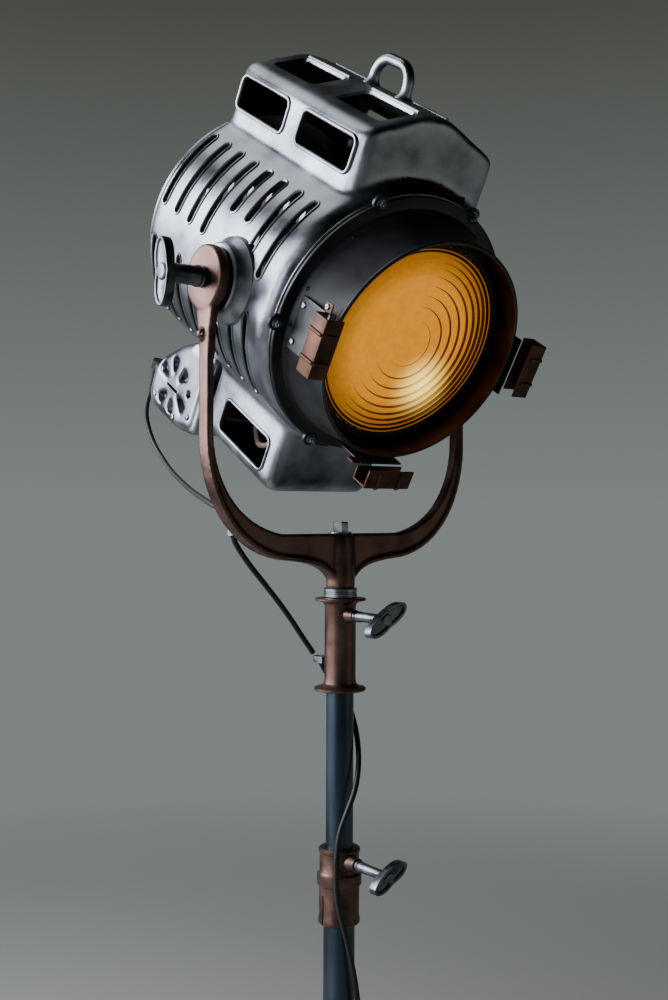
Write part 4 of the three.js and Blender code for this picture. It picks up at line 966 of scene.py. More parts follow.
def housing():
    shell = turned("housing", "y", barrelProfile(), centre=lensAxis, steps=128)
    boolean(shell, hoodBlock(), "UNION")
    s = skirtSize
    skirt = blockOf("skirt", (-s["half"], s["front"], s["foot"]), (s["half"], s["rear"], -60))
    bevelled(skirt, 15, 4)
    boolean(shell, skirt, "UNION")
    softened(shell, drum["grain"], drum["rubs"])
    hollow = newCopy(shell, "hollow")
    shrink = hollow.modifiers.new("wall", "DISPLACE")
    shrink.strength = -drum["wall"] * mm
    shrink.mid_level = 0
    fewer = hollow.modifiers.new("fewer", "DECIMATE")
    fewer.ratio = 0.25
    applyAll(hollow)
    boolean(shell, hollow)
    mouth = drum["radius"] - drum["lip"]
    for start, end in ((drum["face"] - 20, drum["front"] - 4), (drum["rear"] - 12, drum["rear"] + 20)):
        plugOut = peg("mouth", "y", mouth, start, end, lensAxis, 96)
        boolean(shell, plugOut)
    h = hoodSize
    for y in h["windowYs"]:
        u0, u1 = y - h["windowLength"] / 2, y + h["windowLength"] / 2
        pane = pushed("pane", "x", roundedRect(u0, u1, h["windowFoot"], h["windowHead"], 8), -140, 140)
        boolean(shell, pane)
        for side in (-1, 1):
            x0, x1 = sorted((side * 25, side * 74))
            boolean(shell, pushed("vent", "z", roundedRect(x0, x1, u0 + 6, u1 - 8, 9), 205, 300))
    pane = pushed("pane", "x", roundedRect(*s["windowYs"], *s["windowZs"], 8), -140, 140)
    boolean(shell, pane)
    cutSlots(shell)
    smoothShade(shell, 40)
    return shell


def housingBeads():
    h, s = hoodSize, skirtSize
    beads = []
    for side in (-1, 1):
        for y in h["windowYs"]:
            u0, u1 = y - h["windowLength"] / 2 - 2, y + h["windowLength"] / 2 + 2
            beads.append(
                rectBead(
                    "bead", "x", side * (h["half"] - 0.2), u0, u1, h["windowFoot"] - 2, h["windowHead"] + 2, 10,
                    2.6
                )
            )
        y0, y1 = s["windowYs"]
        z0, z1 = s["windowZs"]
        beads.append(rectBead("bead", "x", side * (s["half"] - 0.4), y0 - 2, y1 + 2, z0 - 2, z1 + 2, 10, 2.6))
    masters = {False: slotBead(False), True: slotBead(True)}
    for side, up, y, short in slotPlaces():
        beads.append(newCopy(masters[short], "bead", quarter(side, up, y)))
    for master in masters.values():
        bpy.data.objects.remove(master)
    for side in (-1, 1):
        for y in h["windowYs"]:
            ridge = [Vector((side * 22, y + d, h["spine"] - 1.6)) * mm for d in (-50, -46, -20, 0, 20, 44, 48)]
            beads.append(tubeAlong("bead", ridge, 2.2, roundness=2))
    return together("housingBeads", *beads)


# Inner walls look towards the middle of the barrel, the hood or the skirt, whichever they belong to.
def looksInward(c, n):
    middleZ = 190 if c.z > 158 else -190 if c.z < -158 else drum["rise"]
    if c.y < -50 and n.y > 0.7 or c.y > 185 and n.y < -0.7:
        return True
    if abs(n.y) > 0.95:
        return False
    out = n.x * c.x + n.z * (c.z - middleZ)
    ring = hypot(c.x, c.z - drum["rise"])
    return out < -4 and not (middleZ == drum["rise"] and ring > drum["radius"] - 1)


body = housing()
# inner walls get the darker copy of the casting, painted shade
coat(body, aluminium, insidePaintedShadeAluminium)
lined(body, looksInward)
fit(body, headPlace, "head", ["drum_housing", "chimney_hood", "lower_skirt"])
beads = housingBeads()
onHead(beads, "cast_aluminium", aluminium)
print("housing cast", len(body.data.polygons))


# A place whose z looks a given way. Small fastenings are made once and copied to such places.
def facing(x, y, z, way, spin=0):
    aim = Vector(way).to_track_quat("Z", "Y").to_matrix().to_4x4()
    return Matrix.Translation(Vector((x, y, z)) * mm) @ aim @ Matrix.Rotation(radians(spin), 4, "Z")


def slottedHead(r, h):
    head = turned(
        "screw", "z", [(0, -1), (r, -1), (r, h * 0.45), (r * 0.86, h * 0.85), (r * 0.5, h), (0, h)], steps=20
    )
    return boolean(head, blockOf("slot", (-r - 1, -r * 0.14, h * 0.45), (r + 1, r * 0.14, h + 1)))


def hexHead(r, h, washer=1.35):
    nut = turned("nut", "z", [(0, 0.8), (r, 0.8), (r, h * 0.85), (r * 0.88, h), (0, h)], steps=6, shade=20)
    plate = turned(
        "washer", "z", [(0, -0.6), (r * washer, -0.6), (r * washer, 0.6), (r * washer - 0.5, 1), (0, 1)],
        steps=20
    )
    end = turned(
        "end", "z", [(0, h - 1), (r * 0.5, h - 1), (r * 0.5, h + 1.2), (r * 0.36, h + 2), (0, h + 2)], steps=12
    )
    return together("bolt", nut, plate, end)


def rivet(r, h):
    return turned(
        "rivet", "z", [(0, -1), (r, -1), (r, 0), (r * 0.9, h * 0.5), (r * 0.55, h * 0.9), (0, h)], steps=12,
        shade=60
    )


def spread(name, master, places):
    copies = [newCopy(master, name, place) for place in places]
    bpy.data.objects.remove(master)
    return together(name, *copies)


# Front: face plate, snoot, lens
snootSize = {
    "flange": 165.0,
    "flangeFront": -111.3,
    "flangeRear": -106.3,
    "base": 149.0,
    "rimRadius": 137.0,
    "rim": -182.3,
    "wall": 2.5,
    "ears": (-3, 62, 112, 177, 242, 292),
    "earRadius": 10.0,
    "rivets": 12,
    "firstRivet": 15.0,
    "rivetRadius": 147.9,
    "rivetY": -118.0,
    "rivetLean": -0.17,
}


def snootShell():
    s = snootSize
    f0, f1, w = s["flangeFront"], s["flangeRear"], s["wall"]
    profile = [
        (s["base"] - w - 6, f1), (s["flange"] - 1, f1), (s["flange"], f1 - 1), (s["flange"], f0 + 1),
        (s["flange"] - 1.2, f0),
        (s["base"] + 6, f0), (s["base"] + 2.2, f0 - 0.8), (s["base"], f0 - 3.5),
        (s["rimRadius"] + 0.7, s["rim"] + 5),
        (s["rimRadius"] + 1.9, s["rim"] + 3.2), (s["rimRadius"] + 2, s["rim"] + 1.2),
        (s["rimRadius"] + 0.6, s["rim"]),
        (s["rimRadius"] - 1.6, s["rim"]), (s["rimRadius"] - w, s["rim"] + 1.2), (s["base"] - w - 0.4, f0 + 1),
        (s["base"] - w - 6, f1),
    ]
    cone = turned("snoot", "y", profile, centre=lensAxis, steps=144)
    parts = []
    for deg in s["ears"]:
        a = radians(deg)
        x, z = -s["flange"] * cos(a), drum["rise"] + s["flange"] * sin(a)
        ear = turned(
            "ear", "y",
            [(0, f1), (9.2, f1), (s["earRadius"], f1 - 0.8), (s["earRadius"], f0 + 0.8), (9.2, f0), (0, f0)],
            centre=(x, z), steps=28
        )
        parts.append(ear)
    cone = together("snoot", cone, *parts)
    # the snoot's inner faces get the brown painted reflection of the lens's glow
    coat(cone, black, snootInsidePaintedGlow)
    return lined(
        cone, lambda c,
        n: c.y < f0 and hypot(c.x, c.z - drum["rise"]) < s["base"] and (
            n.x * c.x + n.z * (c.z - drum["rise"])
        ) < 0
    )


def onFace(deg, r, y, way=(0, -1, 0), spin=0):
    a = radians(deg)
    return facing(-r * cos(a), y, drum["rise"] + r * sin(a), way, spin)


def snootFastenings():
    s = snootSize
    bolts = spread(
        "snootBolts", hexHead(4.6, 5.5), [onFace(d, s["flange"], s["flangeFront"], spin=d) for d in s["ears"]]
    )
    places = []
    for i in range(s["rivets"]):
        deg = s["firstRivet"] + 360 * i / s["rivets"]
        out = (-cos(radians(deg)), s["rivetLean"], sin(radians(deg)))
        places.append(onFace(deg, s["rivetRadius"], s["rivetY"], out))
    return bolts, spread("snootRivets", rivet(3.1, 1.7), places)


def flangeWire():
    s = snootSize
    points = [roundLens(s["flange"], radians(2 * i), s["flangeRear"] + 2.2) for i in range(180)]
    return tubeAlong("flangeWire", points, 1.5, closed=True)


fit(snootShell(), headPlace, "head", ["snoot"])
bolts, rivets = snootFastenings()
onHead(bolts, "steel", steel)
onHead(rivets, "dark_aluminium", black)
onHead(flangeWire(), "steel", steel)
plate = turned(
    "facePlate", "y",
    [
        (131.4, -106), (149, -106), (152.6, -104), (152.6, -101), (148, -99.5), (136, -99.5), (131.4, -101),
        (131.4, -106)
    ],
    centre=lensAxis, steps=96,
)
onHead(plate, "dark_aluminium", black, "front_face_plate")

lensSize = {
    "radius": 125.0,
    "rimFront": -145.3,
    "rimBack": -133.3,
    "tip": -152.6,
    "crown": -154.3,
    "steps": (30, 47, 61, 74, 86, 96, 104, 111, 117, 121),
    "fall": (2.6, 3.4, 4.0, 4.4, 4.8, 5.0, 5.2, 5.2, 5.2),
}


def steppedLens():
    s = lensSize
    steps = s["steps"]
    profile = [
        (0, s["rimBack"]), (s["radius"], s["rimBack"]), (s["radius"], s["rimFront"] + 0.6),
        (s["radius"] - 0.6, s["rimFront"]), (steps[-1] + 0.3, s["rimFront"])
    ]
    for k in range(len(steps) - 1, 0, -1):
        inner, outer, fall = steps[k - 1], steps[k], s["fall"][k - 1]
        tip = s["tip"]
        profile += [
            (outer, tip + fall), (outer - 0.9, tip + fall), ((inner + outer) / 2, tip + fall * 0.42),
            (inner + 1.4, tip + 0.25), (inner + 0.7, tip), (inner + 0.2, tip + 0.6),
        ]
    first = steps[0]
    profile += [
        (first - 0.1, -150.9), (first * 0.85, -152.0), (first * 0.6, -153.2), (first * 0.3, -154.05),
        (0, s["crown"])
    ]
    lens = turned("lens", "y", profile, centre=lensAxis, steps=160, shade=30)
    # three copies of one glass: the painted glow on the front, painted shade on the back and on the risers
    coat(lens, amberPaintedGlow, amberRiserPaintedShade, amberBackPaintedShade)
    lined(lens, lambda c, n: n.y > 0.5, 2)

    # a riser is a face that looks sideways rather than forward; risers get the darker copy of the glass, painted
    # shade lines between the rings
    feet = s["steps"][1:]
    return lined(
        lens, lambda c,
        n: c.y < s["rimFront"] - 0.2 and (
            n.y > -0.62 or any(r - 0.95 < hypot(c.x, c.z - drum["rise"]) < r for r in feet)
        )
    )


fit(steppedLens(), headPlace, "head", ["fresnel_lens"])

random.seed(11)


# Heat-proof putty pressed round the lens edge, a little uneven.
def puttyRing(r, y, thick, wobble):
    points = []
    count = 220
    for i in range(count):
        a = radians(i * 360 / count)
        rr = r + random.uniform(-wobble, wobble) * 0.5
        points.append(roundLens(rr, a, y + random.uniform(-wobble, wobble)))
    return tubeAlong("lensPutty", points, thick, closed=True, roundness=3)


putty = together("lensPutty", puttyRing(123.6, -146.6, 2.4, 1.0), puttyRing(125.4, -147.6, 2.2, 0.8))
onHead(putty, "rubber", rubber)
retainer = turned(
    "retainer", "y",
    [
        (125.3, -131.3), (125.3, -145.3), (127, -147.6), (129, -147.8), (131, -146), (134.6, -128),
        (134.6, -126), (131, -131), (125.3, -131.3)
    ],
    centre=lensAxis, steps=112,
)
# the retainer wears the brown painted reflection of the lens's glow too
onHead(retainer, "dark_aluminium", snootInsidePaintedGlow, "lens_retaining_ring")
holder = turned(
    "holder", "y",
    [(120, -130.7), (131, -130.7), (131, -106.3), (128, -106.3), (128, -126), (120, -127.7), (120, -130.7)],
    centre=lensAxis, steps=96,
)
onHead(holder, "dark_aluminium", black, "lens_holder")
seat = turned(
    "lensSeat", "y", [(120, -133), (125, -133), (125, -131), (120, -131), (120, -133)], centre=lensAxis,
    steps=96
)
onHead(seat, "gasket", gasket, "lens_gasket")
print("front made")

# Filter clips
clipSize = {
    "inside": 146.0,
    "height": 24.0,
    "rear": -178.3,
    "depth": 26.0,
    "half": 35.0,
    "sheet": 2.5,
    "ribs": (-16.5, 16.5),
    "ribRadius": 2.3,
    "plateHalf": 32.0,
    "plateRear": -121.0,
}


def filterClip(name, deg):
    c = clipSize
    i, o = -c["inside"], -c["inside"] - c["height"]
    f, r, t = c["rear"] - c["depth"], c["rear"], c["sheet"]
    outline = [(i, f), (o, f), (o, r), (i - 6, r), (i - 6, r - t), (o + t, r - t), (o + t, f + t), (i, f + t)]
    channel = pushed("channel", "z", outline, -c["half"], c["half"])
    bevelled(channel, 0.9, 2, 40)
    ribs = []
    for z in c["ribs"]:
        path = [
            (i - 4, f), (i - 7, f - 0.6), (o + 2, f - 0.6), (o - 0.4, f + 2), (o - 0.6, (f + r) / 2),
            (o - 0.6, r - 2), (o + 2, r + 0.4), (o + 9, r + 0.2)
        ]
        ribs.append(tubeAlong("rib", [Vector((x, y, z)) * mm for x, y in path], c["ribRadius"], roundness=2))
    tab = blockOf("tab", (i - 3.4, r - 1, c["half"] - 3), (i - 1, r + 13, c["half"] + 9))
    bevelled(tab, 1.0, 2)
    clip = together(name, channel, *ribs, tab)
    smoothShade(clip)
    h = c["plateHalf"]
    sheet = pushed(
        "sheet", "y", [(i - 3.2, -h), (i - 3.2, h), (i - 0.8, h), (i - 0.8, -h)], c["plateRear"], r - 2
    )
    bevelled(sheet, 0.8, 2)
    for z in (-h + 6, 0, h - 6):
        bored(sheet, "x", 2.4, i - 8, i + 4, (-168, z), 16)
    web = pushed(
        "clipWeb", "y", [(i - 1, -h + 5), (i - 1, h - 5), (i + 5, h - 5), (i + 5, -h + 5)], c["plateRear"] - 7,
        c["plateRear"]
    )
    plate = together("clipPlate", sheet, web)
    smoothShade(plate)
    screws = spread("clipScrews", slottedHead(3.6, 2.4), [
        facing(i - 3.2, c["plateRear"] - 8, h - 10, (-1, 0, 0), 25),
        facing(i - 3.2, c["plateRear"] - 8, -h + 10, (-1, 0, 0), 70),
        facing(i - 3.4, r + 7, c["half"] + 3.5, (-1, 0, 0), 40), facing(i - 3.2, r + 10, 0, (-1, 0, 0), 110),
    ])
    place = Matrix.Translation((0, 0, drum["rise"] * mm)) @ Matrix.Rotation(radians(deg), 4, "Y")
    for part in (clip, plate, screws):
        moveMesh(part, place)
    onHead(clip, "copper_sheet", browned, "filter_clip_" + name)
    onHead(plate, "dark_aluminium", black)
    onHead(screws, "steel", steel)
    clip.name, plate.name, screws.name = name + "Clip", name + "ClipPlate", name + "ClipScrews"


for name, deg in (("left", 0), ("right", 180), ("bottom", 270)):
    filterClip(name, deg)
print("filter clips made")

# Handle, trunnions, terminal box
handleSize = {"y0": 2.5, "y1": 87.5, "foot": 247.0, "top": 293.0, "bar": 7.2, "flare": 13.0}


def handle():
    s = handleSize
    r = s["bar"]
    y0, y1, top = s["y0"] + r, s["y1"] - r, s["top"] - r
    bend = 24
    path = [(y0, s["foot"] - 4), (y0, top - bend)]
    path += [
        (y0 + bend - bend * cos(t), top - bend + bend * sin(t)) for t in [pi / 2 * i / 8 for i in range(1, 9)]
    ]
    path += [
        (y1 - bend + bend * sin(t), top - bend + bend * cos(t)) for t in [pi / 2 * i / 8 for i in range(9)]
    ]
    path += [(y1, s["foot"] - 4)]
    loop = tubeAlong("handle", [Vector((0, y, z)) * mm for y, z in path], r, roundness=4)
    for y in (y0, y1):
        foot = turned(
            "foot", "z",
            [
                (0, s["foot"] - 4), (s["flare"], s["foot"] - 4), (s["flare"], s["foot"] + 2.5),
                (r + 1.5, s["foot"] + 6), (r, s["foot"] + 12), (0, s["foot"] + 12)
            ],
            centre=(0, y), steps=32
        )
        boolean(loop, foot, "UNION")
    softened(loop, 1.5, 6)
    return smoothShade(loop, 60)


onHead(handle(), "cast_aluminium", aluminium, "carry_handle")

trunnion = {"root": 160.0, "face": 189.0, "radius": 43.0, "studRadius": 6.3}
for name, side in (("left", -1), ("right", 1)):
    t = trunnion
    r = t["radius"]
    body = turned(
        name + "Trunnion", "x",
        [(0, side * t["root"]), (r + 11, side * t["root"]), (r + 9, side * 171), (r + 3, side * 176),
         (r, side * 181),
         (r, side * (t["face"] - 2)), (r - 2, side * t["face"]), (0, side * t["face"])],
        steps=72,
    )
    bored(body, "x", t["studRadius"], side * 150, side * 200)
    smoothShade(body)
    onHead(body, "dark_aluminium", aluminium, "trunnion_boss_" + name)
    washer = turned(
        name + "Washer", "x",
        [
            (8, side * 189.3), (34.4, side * 189.3), (35, side * 189.9), (35, side * 191.8),
            (34.4, side * 192.3), (8, side * 192.3), (8, side * 189.3)
        ],
        steps=64,
    )
    onYoke(washer, "rubber", rubber, "friction_washer_" + name)

boxSize = {
    "half": 79.5,
    "outline": (
        (114, -200), (114, -262), (118, -269), (162, -281), (247, -282), (259, -270), (262, -231), (246, -208),
        (206, -172), (170, -150), (114, -150)
    ),
    "grain": 2.6,
    "rubs": 5,
    "reliefDepth": 9.0,
    "reliefMiddle": (196, -232),
    "pocketStart": 13,
    # each pocket of the relief: its way in degrees, its reach and its width
    "pockets": ((20, 46, 20), (75, 40, 18), (130, 40, 20), (200, 44, 20), (255, 36, 16), (310, 40, 18)),
    "lidShare": 0.86,
    "lidShift": (27, -31),
    "screws": ((236, -262, 20), (234, -222, 75), (136, -250, 130), (172, -268, 50)),
}


def terminalBox():
    s = boxSize
    shell = pushed("terminalBox", "x", list(s["outline"]), -s["half"], s["half"])
    bevelled(shell, 9, 3, 25)
    share, (dy, dz) = s["lidShare"], s["lidShift"]
    lid = pushed(
        "lid", "x", [(y * share + dy, z * share + dz) for y, z in s["outline"]], -s["half"] - 3, -s["half"] + 4
    )
    bevelled(lid, 2, 2, 25)
    boolean(shell, lid, "UNION")
    middle, near = s["reliefMiddle"], s["pocketStart"]
    for angle, far, width in s["pockets"]:
        a = radians(angle)
        u, v = cos(a), sin(a)
        wedge = [
            (middle[0] + near * u, middle[1] + near * v),
            (middle[0] + far * u - width / 2 * v, middle[1] + far * v + width / 2 * u),
            (middle[0] + (far + 3) * u, middle[1] + (far + 3) * v),
            (middle[0] + far * u + width / 2 * v, middle[1] + far * v - width / 2 * u),
        ]
        for side in (-1, 1):
            cut = pushed("wedge", "x", wedge, side * (s["half"] - s["reliefDepth"]), side * (s["half"] + 10))
            boolean(shell, cut)
    softened(shell, s["grain"], s["rubs"])
    smoothShade(shell, 60)
    slit = blockOf("slit", (-95, 180, -236), (-66, 212, -231.5))
    boolean(shell, slit)
    bored(shell, "x", 6, -95, -60, (150, -222))
    return shell


onHead(terminalBox(), "cast_aluminium", aluminium, "terminal_box")
boxScrews = spread("boxScrews", slottedHead(4.4, 3.4), [
    facing(
        side * (boxSize["half"] + 2), y, z, (side, 0, 0), spin
    ) for side in (-1, 1) for y, z, spin in boxSize["screws"]
])
onHead(boxScrews, "steel", steel)

gland = {"nut": 10.5, "top": -226.0, "ribs": 6}


def glandPiece():
    g = gland
    x, y = at = (glandSpot["x"], glandSpot["y"])
    nut = turned(
        "gland", "z",
        [
            (0, g["top"]), (g["nut"] - 1, g["top"]), (g["nut"], g["top"] - 1), (g["nut"], -239),
            (g["nut"] - 1, -240), (0, -240)
        ],
        centre=at, steps=6, shade=20
    )
    profile = [(0, -238), (9.2, -238), (9.2, -243)]
    for i in range(g["ribs"]):
        z, r = -245 - i * 5.2, 8.4 - i * 0.62
        profile += [(r, z), (r, z - 2.6), (r - 1.3, z - 3.2), (r - 1.3, z - 4.6)]
    profile += [(4.4, -278), (0, -278)]
    boot = turned("boot", "z", profile, centre=at, steps=28)
    strap = blockOf("strap", (x - 7, 255, -236), (x + 7, y, -230))
    return together("cableGland", nut, boot, strap)


onHead(glandPiece(), "rubber", rubber, "cable_gland")
print("handle, trunnions and terminal box made")

# Yoke: a bow of T section with round pads, cast in one with its hub
bow = {
    "outer": 205.6,
    "arm": 12.0,
    "width": 22.0,
    "webWidth": 15.0,
    "band": 5.5,
    "drop": 303.0,
    "foot": -335.0,
    "bend": 120.0,
    "padIn": 192.6,
    "padOut": 206.6,
    "padRadius": 39.0,
    "hub": 18.5,
    "hubFoot": -372.0,
    "spigot": 14.0,
    "spigotFoot": -450.0,
    "grain": 2.0,
    "rubs": 7,
}


knobBore = 6.3


def curved(p0, p1, p2, p3, steps):
    found = []
    for i in range(steps + 1):
        t = i / steps
        a, b, c, d = (1 - t) ** 3, 3 * t * (1 - t) ** 2, 3 * t * t * (1 - t), t**3
        found.append(
            (a * p0[0] + b * p1[0] + c * p2[0] + d * p3[0], a * p0[1] + b * p1[1] + c * p2[1] + d * p3[1])
        )
    return found


# Half of the bow's outside, from the pad down to the hub, at a given depth below the surface.
def outsideLine(depth):
    b = bow
    o, top, foot = b["outer"] - depth, -b["drop"], b["foot"] + depth
    return [(o, -20)] + curved(
        (o, top + b["bend"]), (o, top + 46), (o - 40, foot + 12), (o - 112 + depth, foot), 16
    )


def insideLine():
    b = bow
    i, top = b["outer"] - b["arm"], -b["drop"]
    return [(i, -20)] + curved((i, top + b["bend"] + 6), (i, top + 66), (i - 32, top + 12), (i - 100, top), 16)


def bowPiece():
    b = bow
    out, inn, deep = outsideLine(0), insideLine(), outsideLine(b["band"])
    under = curved(
        (b["outer"] - 112, b["foot"]), (60, b["foot"] - 3), (b["hub"] + 12, b["foot"] - 6),
        (b["hub"] - 1, b["foot"] - 24), 10
    )[1:]

    def mirrored(line):
        return [(-x, z) for x, z in reversed(line)]

    web = pushed(
        "yokeBow", "y",
        out + under + mirrored(under) + mirrored(out) + [(-x, z) for x, z in inn] + list(reversed(inn)),
        -b["webWidth"] / 2, b["webWidth"] / 2
    )
    bands = []
    deepUnder = [(x, z + b["band"]) for x, z in under]
    for side in (-1, 1):
        ring = [(side * x, z) for x, z in out + under + list(reversed(deepUnder)) + list(reversed(deep))]
        bands.append(pushed("band", "y", ring, -b["width"] / 2, b["width"] / 2))
    for band in bands:
        boolean(web, band, "UNION")
    for side in (-1, 1):
        i, o, r = side * b["padIn"], side * b["padOut"], b["padRadius"]
        pad = turned(
            "pad", "x", [(0, i), (r - 1, i), (r, i + side), (r, o - side * 2), (r - 2, o), (0, o)], steps=72
        )
        boolean(web, pad, "UNION")
        neck = pushed(
            "neck", "x", [(-20, -30), (20, -30), (13, -62), (11, -92), (-11, -92), (-13, -62)],
            side * (b["outer"] - b["arm"] + 0.5), side * (b["outer"] - 0.4)
        )
        boolean(web, neck, "UNION")
    hub = turned(
        "hub", "z",
        [
            (0, b["hubFoot"]), (b["hub"], b["hubFoot"]), (b["hub"], b["foot"] - 8),
            (b["hub"] - 3, -b["drop"] - 1), (0, -b["drop"] - 1)
        ],
        steps=48
    )
    boolean(web, hub, "UNION")
    boolean(
        web, turned("seat", "z", [(0, -318), (15, -318), (14, -b["drop"]), (0, -b["drop"])], steps=32), "UNION"
    )
    lug = pushed(
        "lug", "y", [(-213.6, -64), (-213.6, -70), (-203, -77), (-200, -77), (-200, -57), (-203, -57)], -4, 4
    )
    boolean(web, lug, "UNION")
    softened(web, b["grain"], b["rubs"])
    boolean(
        web,
        turned(
            "spigot", "z",
            [
                (0, b["spigotFoot"]), (b["spigot"] - 1, b["spigotFoot"]), (b["spigot"], b["spigotFoot"] + 1),
                (b["spigot"], -366), (0, -366)
            ],
            steps=40
        ),
        "UNION"
    )
    bored(web, "y", 2.2, -10, 10, (-209, -67), 16)
    for side in (-1, 1):
        bored(web, "x", knobBore, side * 180, side * 215)
    return smoothShade(web, 40)


onYoke(bowPiece(), "bronze", bronze, "yoke")
boltHead = turned(
    "hubBolt", "z", [(0, -302.7), (10.4, -302.7), (10.4, -290), (9.4, -288), (0, -288)], steps=6, shade=20
)
boltWasher = turned(
    "hubWasher", "z", [(0, -303.2), (13.5, -303.2), (14, -302.6), (14, -301.4), (13.4, -300.9), (0, -300.9)],
    steps=36
)
onYoke(together("hubBolt", boltHead, boltWasher), "steel", steel, "hub_bolt")
swivel = turned(
    "swivelRing", "z",
    [
        (14.3, -372.3), (20.5, -372.3), (21.5, -373.3), (21.5, -376.6), (20.7, -377.3), (20.7, -379),
        (21.5, -379.7), (21.5, -383.3), (20.5, -384.3), (14.3, -384.3), (14.3, -372.3)
    ],
    steps=64,
)
onYoke(swivel, "steel", steel, "swivel_ring")


# A wing knob's place: its +z is the way out of the clamp.
def knobPlace(x, y, z, way, spin):
    aim = Vector((0, 0, 1)).rotation_difference(Vector(way)).to_matrix().to_4x4()
    return Matrix.Translation(Vector((x, y, z)) * mm) @ aim @ Matrix.Rotation(radians(spin), 4, "Z")


knobs = {
    "tilt": {"shankRadius": 13.0, "shank": 44.0, "wing": 82.0, "width": 34.0, "thick": 13.0, "stud": 32.0},
    "pan": {"shankRadius": 7.0, "shank": 52.0, "wing": 68.0, "width": 26.0, "thick": 12.0, "stud": 16.0},
    "height": {"shankRadius": 7.0, "shank": 52.0, "wing": 58.0, "width": 24.0, "thick": 12.0, "stud": 18.0},
}


wingRecess = (3.4, 1.2, 2.6)  # rim, slope and depth


def wingKnob(name, size):
    s = knobs[size]
    a, b = s["width"] / 2 - 0.5, s["wing"] / 2 - 0.5
    z0, z1 = s["shank"], s["shank"] + s["thick"]
    outline = []
    for i in range(40):
        t = 2 * pi * i / 40
        waist = 1 - 0.13 * cos(t) ** 6
        outline.append((a * waist * cos(t), b * sin(t)))
    wing = pushed("wing", "z", outline, z0, z1)
    recessed(wing, lambda n: n.z > 0.9, *wingRecess)
    bevelled(wing, 1.6, 3, 40)
    # the wing's ends sweep forward, away from the clamp
    for v in wing.data.vertices:
        reach = abs(v.co.y / mm) / b
        v.co.z -= 2.4 * mm * (1 - reach) ** 2 if v.co.z / mm > z0 + 3 else 0
    r = s["shankRadius"]
    shank = turned(
        "shank", "z",
        [
            (0, 0.2), (r, 0.2), (r, 3.4), (r - 0.8, 4.4), (r - 0.8, 6), (r, 7), (r, 9), (r * 0.9, 11),
            (r * 0.88, z0 - 9), (r * 0.94, z0 - 3), (r * 1.06, z0 + 3), (0, z0 + 3)
        ],
        steps=40,
    )
    hubTop = turned(
        "hubTop", "z", [(0, z0 + 4), (a * 0.62, z0 + 4), (a * 0.62, z1 - 3), (a * 0.5, z1 - 1.4), (0, z1 - 1)],
        steps=32
    )
    stud = turned(
        "stud", "z", [(0, -s["stud"]), (5, -s["stud"]), (6, -s["stud"] + 1.4), (6, 1), (0, 1)], steps=20
    )
    knob = together(name, wing, shank, hubTop, stud)
    return smoothShade(knob)


for name, side in (("left", -1), ("right", 1)):
    knob = moveMesh(
        wingKnob(name + "TiltKnob", "tilt"), knobPlace(side * (bow["padOut"] + 0.3), 0, 0, (side, 0, 0), 90)
    )
    fit(knob, yokePlace, "tilt_knob_" + name, ["tilt_knob_" + name], [darkSteel])
print("yoke and knobs made")

# Stand: sleeve, tubes, clamp
standSize = {
    "sleeveTop": 1340.4,
    "sleeveFoot": 1222.4,
    "sleeve": 20.0,
    "flange": 33.0,
    "riser": 17.5,
    "riserFoot": 458.1,
    "riserTop": 1258.1,
    "mast": 20.0,
    "mastFoot": 90.0,
    "mastTop": 983.4,
    "clamp": 26.5,
    "clampFoot": 927.4,
    "clampTop": 1023.4,
    "panKnob": 1318.4,
    "heightKnob": 1007.4,
}


def tubePiece(name, outer, inner, foot, top):
    return turned(
        name, "z",
        [
            (inner, foot), (outer - 0.6, foot), (outer, foot + 0.6), (outer, top - 0.6), (outer - 0.6, top),
            (inner, top), (inner, foot)
        ],
        steps=64
    )


def knobBoss(r, reach, z):
    return turned(
        "boss", "y",
        [
            (0, -reach), (r - 0.8, -reach), (r, -reach + 0.8), (r, -reach + 7), (r + 1.6, -reach + 10),
            (r + 1.6, -16), (0, -16)
        ],
        centre=(0, z), steps=36
    )


def sleevePiece():
    s = standSize
    top, foot, r, f = s["sleeveTop"], s["sleeveFoot"], s["sleeve"], s["flange"]
    body = turned(
        "sleeve", "z",
        [(14.4, top), (f - 8, top), (f - 1, top - 0.6), (f, top - 1.6), (f, top - 3), (f - 1.4, top - 4),
         (r + 4, top - 5), (r + 0.8, top - 8),
         (r, top - 12), (r, foot + 15), (r + 1, foot + 9), (r + 5, foot + 5.4), (f - 1.2, foot + 4.2),
         (f, foot + 3.2), (f, foot + 1.2), (f - 1, foot), (17.8, foot),
         (17.8, foot + 36), (14.4, foot + 36), (14.4, top)],
        steps=72, shade=40,
    )
    boolean(body, knobBoss(8, 32, s["panKnob"]), "UNION", "EXACT")
    bored(body, "y", knobBore, -50, -5, (0, s["panKnob"]), 20)
    bored(body, "z", 14.4, foot + 37, top + 2, steps=48)
    return smoothShade(body)


def clampPiece():
    s = standSize
    top, foot, r = s["clampTop"], s["clampFoot"], s["clamp"]
    body = turned(
        "clampCollar", "z",
        [(17.9, top), (r - 2, top), (r, top - 1.4), (r, top - 5), (r - 1.3, top - 6.4), (r - 1.3, top - 30),
         (r, top - 32), (r + 1.8, top - 33.4),
         (r + 2, top - 35), (r + 2, top - 45), (r + 1.6, top - 46.6), (r - 0.6, top - 48), (r - 1.1, foot + 10),
         (r, foot + 7), (r, foot + 1.4),
         (r - 1.4, foot), (20.3, foot), (20.3, s["mastTop"] + 0.3), (17.9, s["mastTop"] + 0.3), (17.9, top)],
        steps=72, shade=40,
    )
    boolean(body, knobBoss(9, 38.5, s["heightKnob"]), "UNION", "EXACT")
    bored(body, "y", knobBore, -50, -5, (0, s["heightKnob"]), 20)
    bored(body, "z", 17.9, s["mastTop"] + 1, top + 2, steps=48)
    # the clamp's slit, square to the screw
    boolean(body, blockOf("slit", (-40, -1.1, foot - 1), (-15, 1.1, foot + 38)))
    return smoothShade(body)


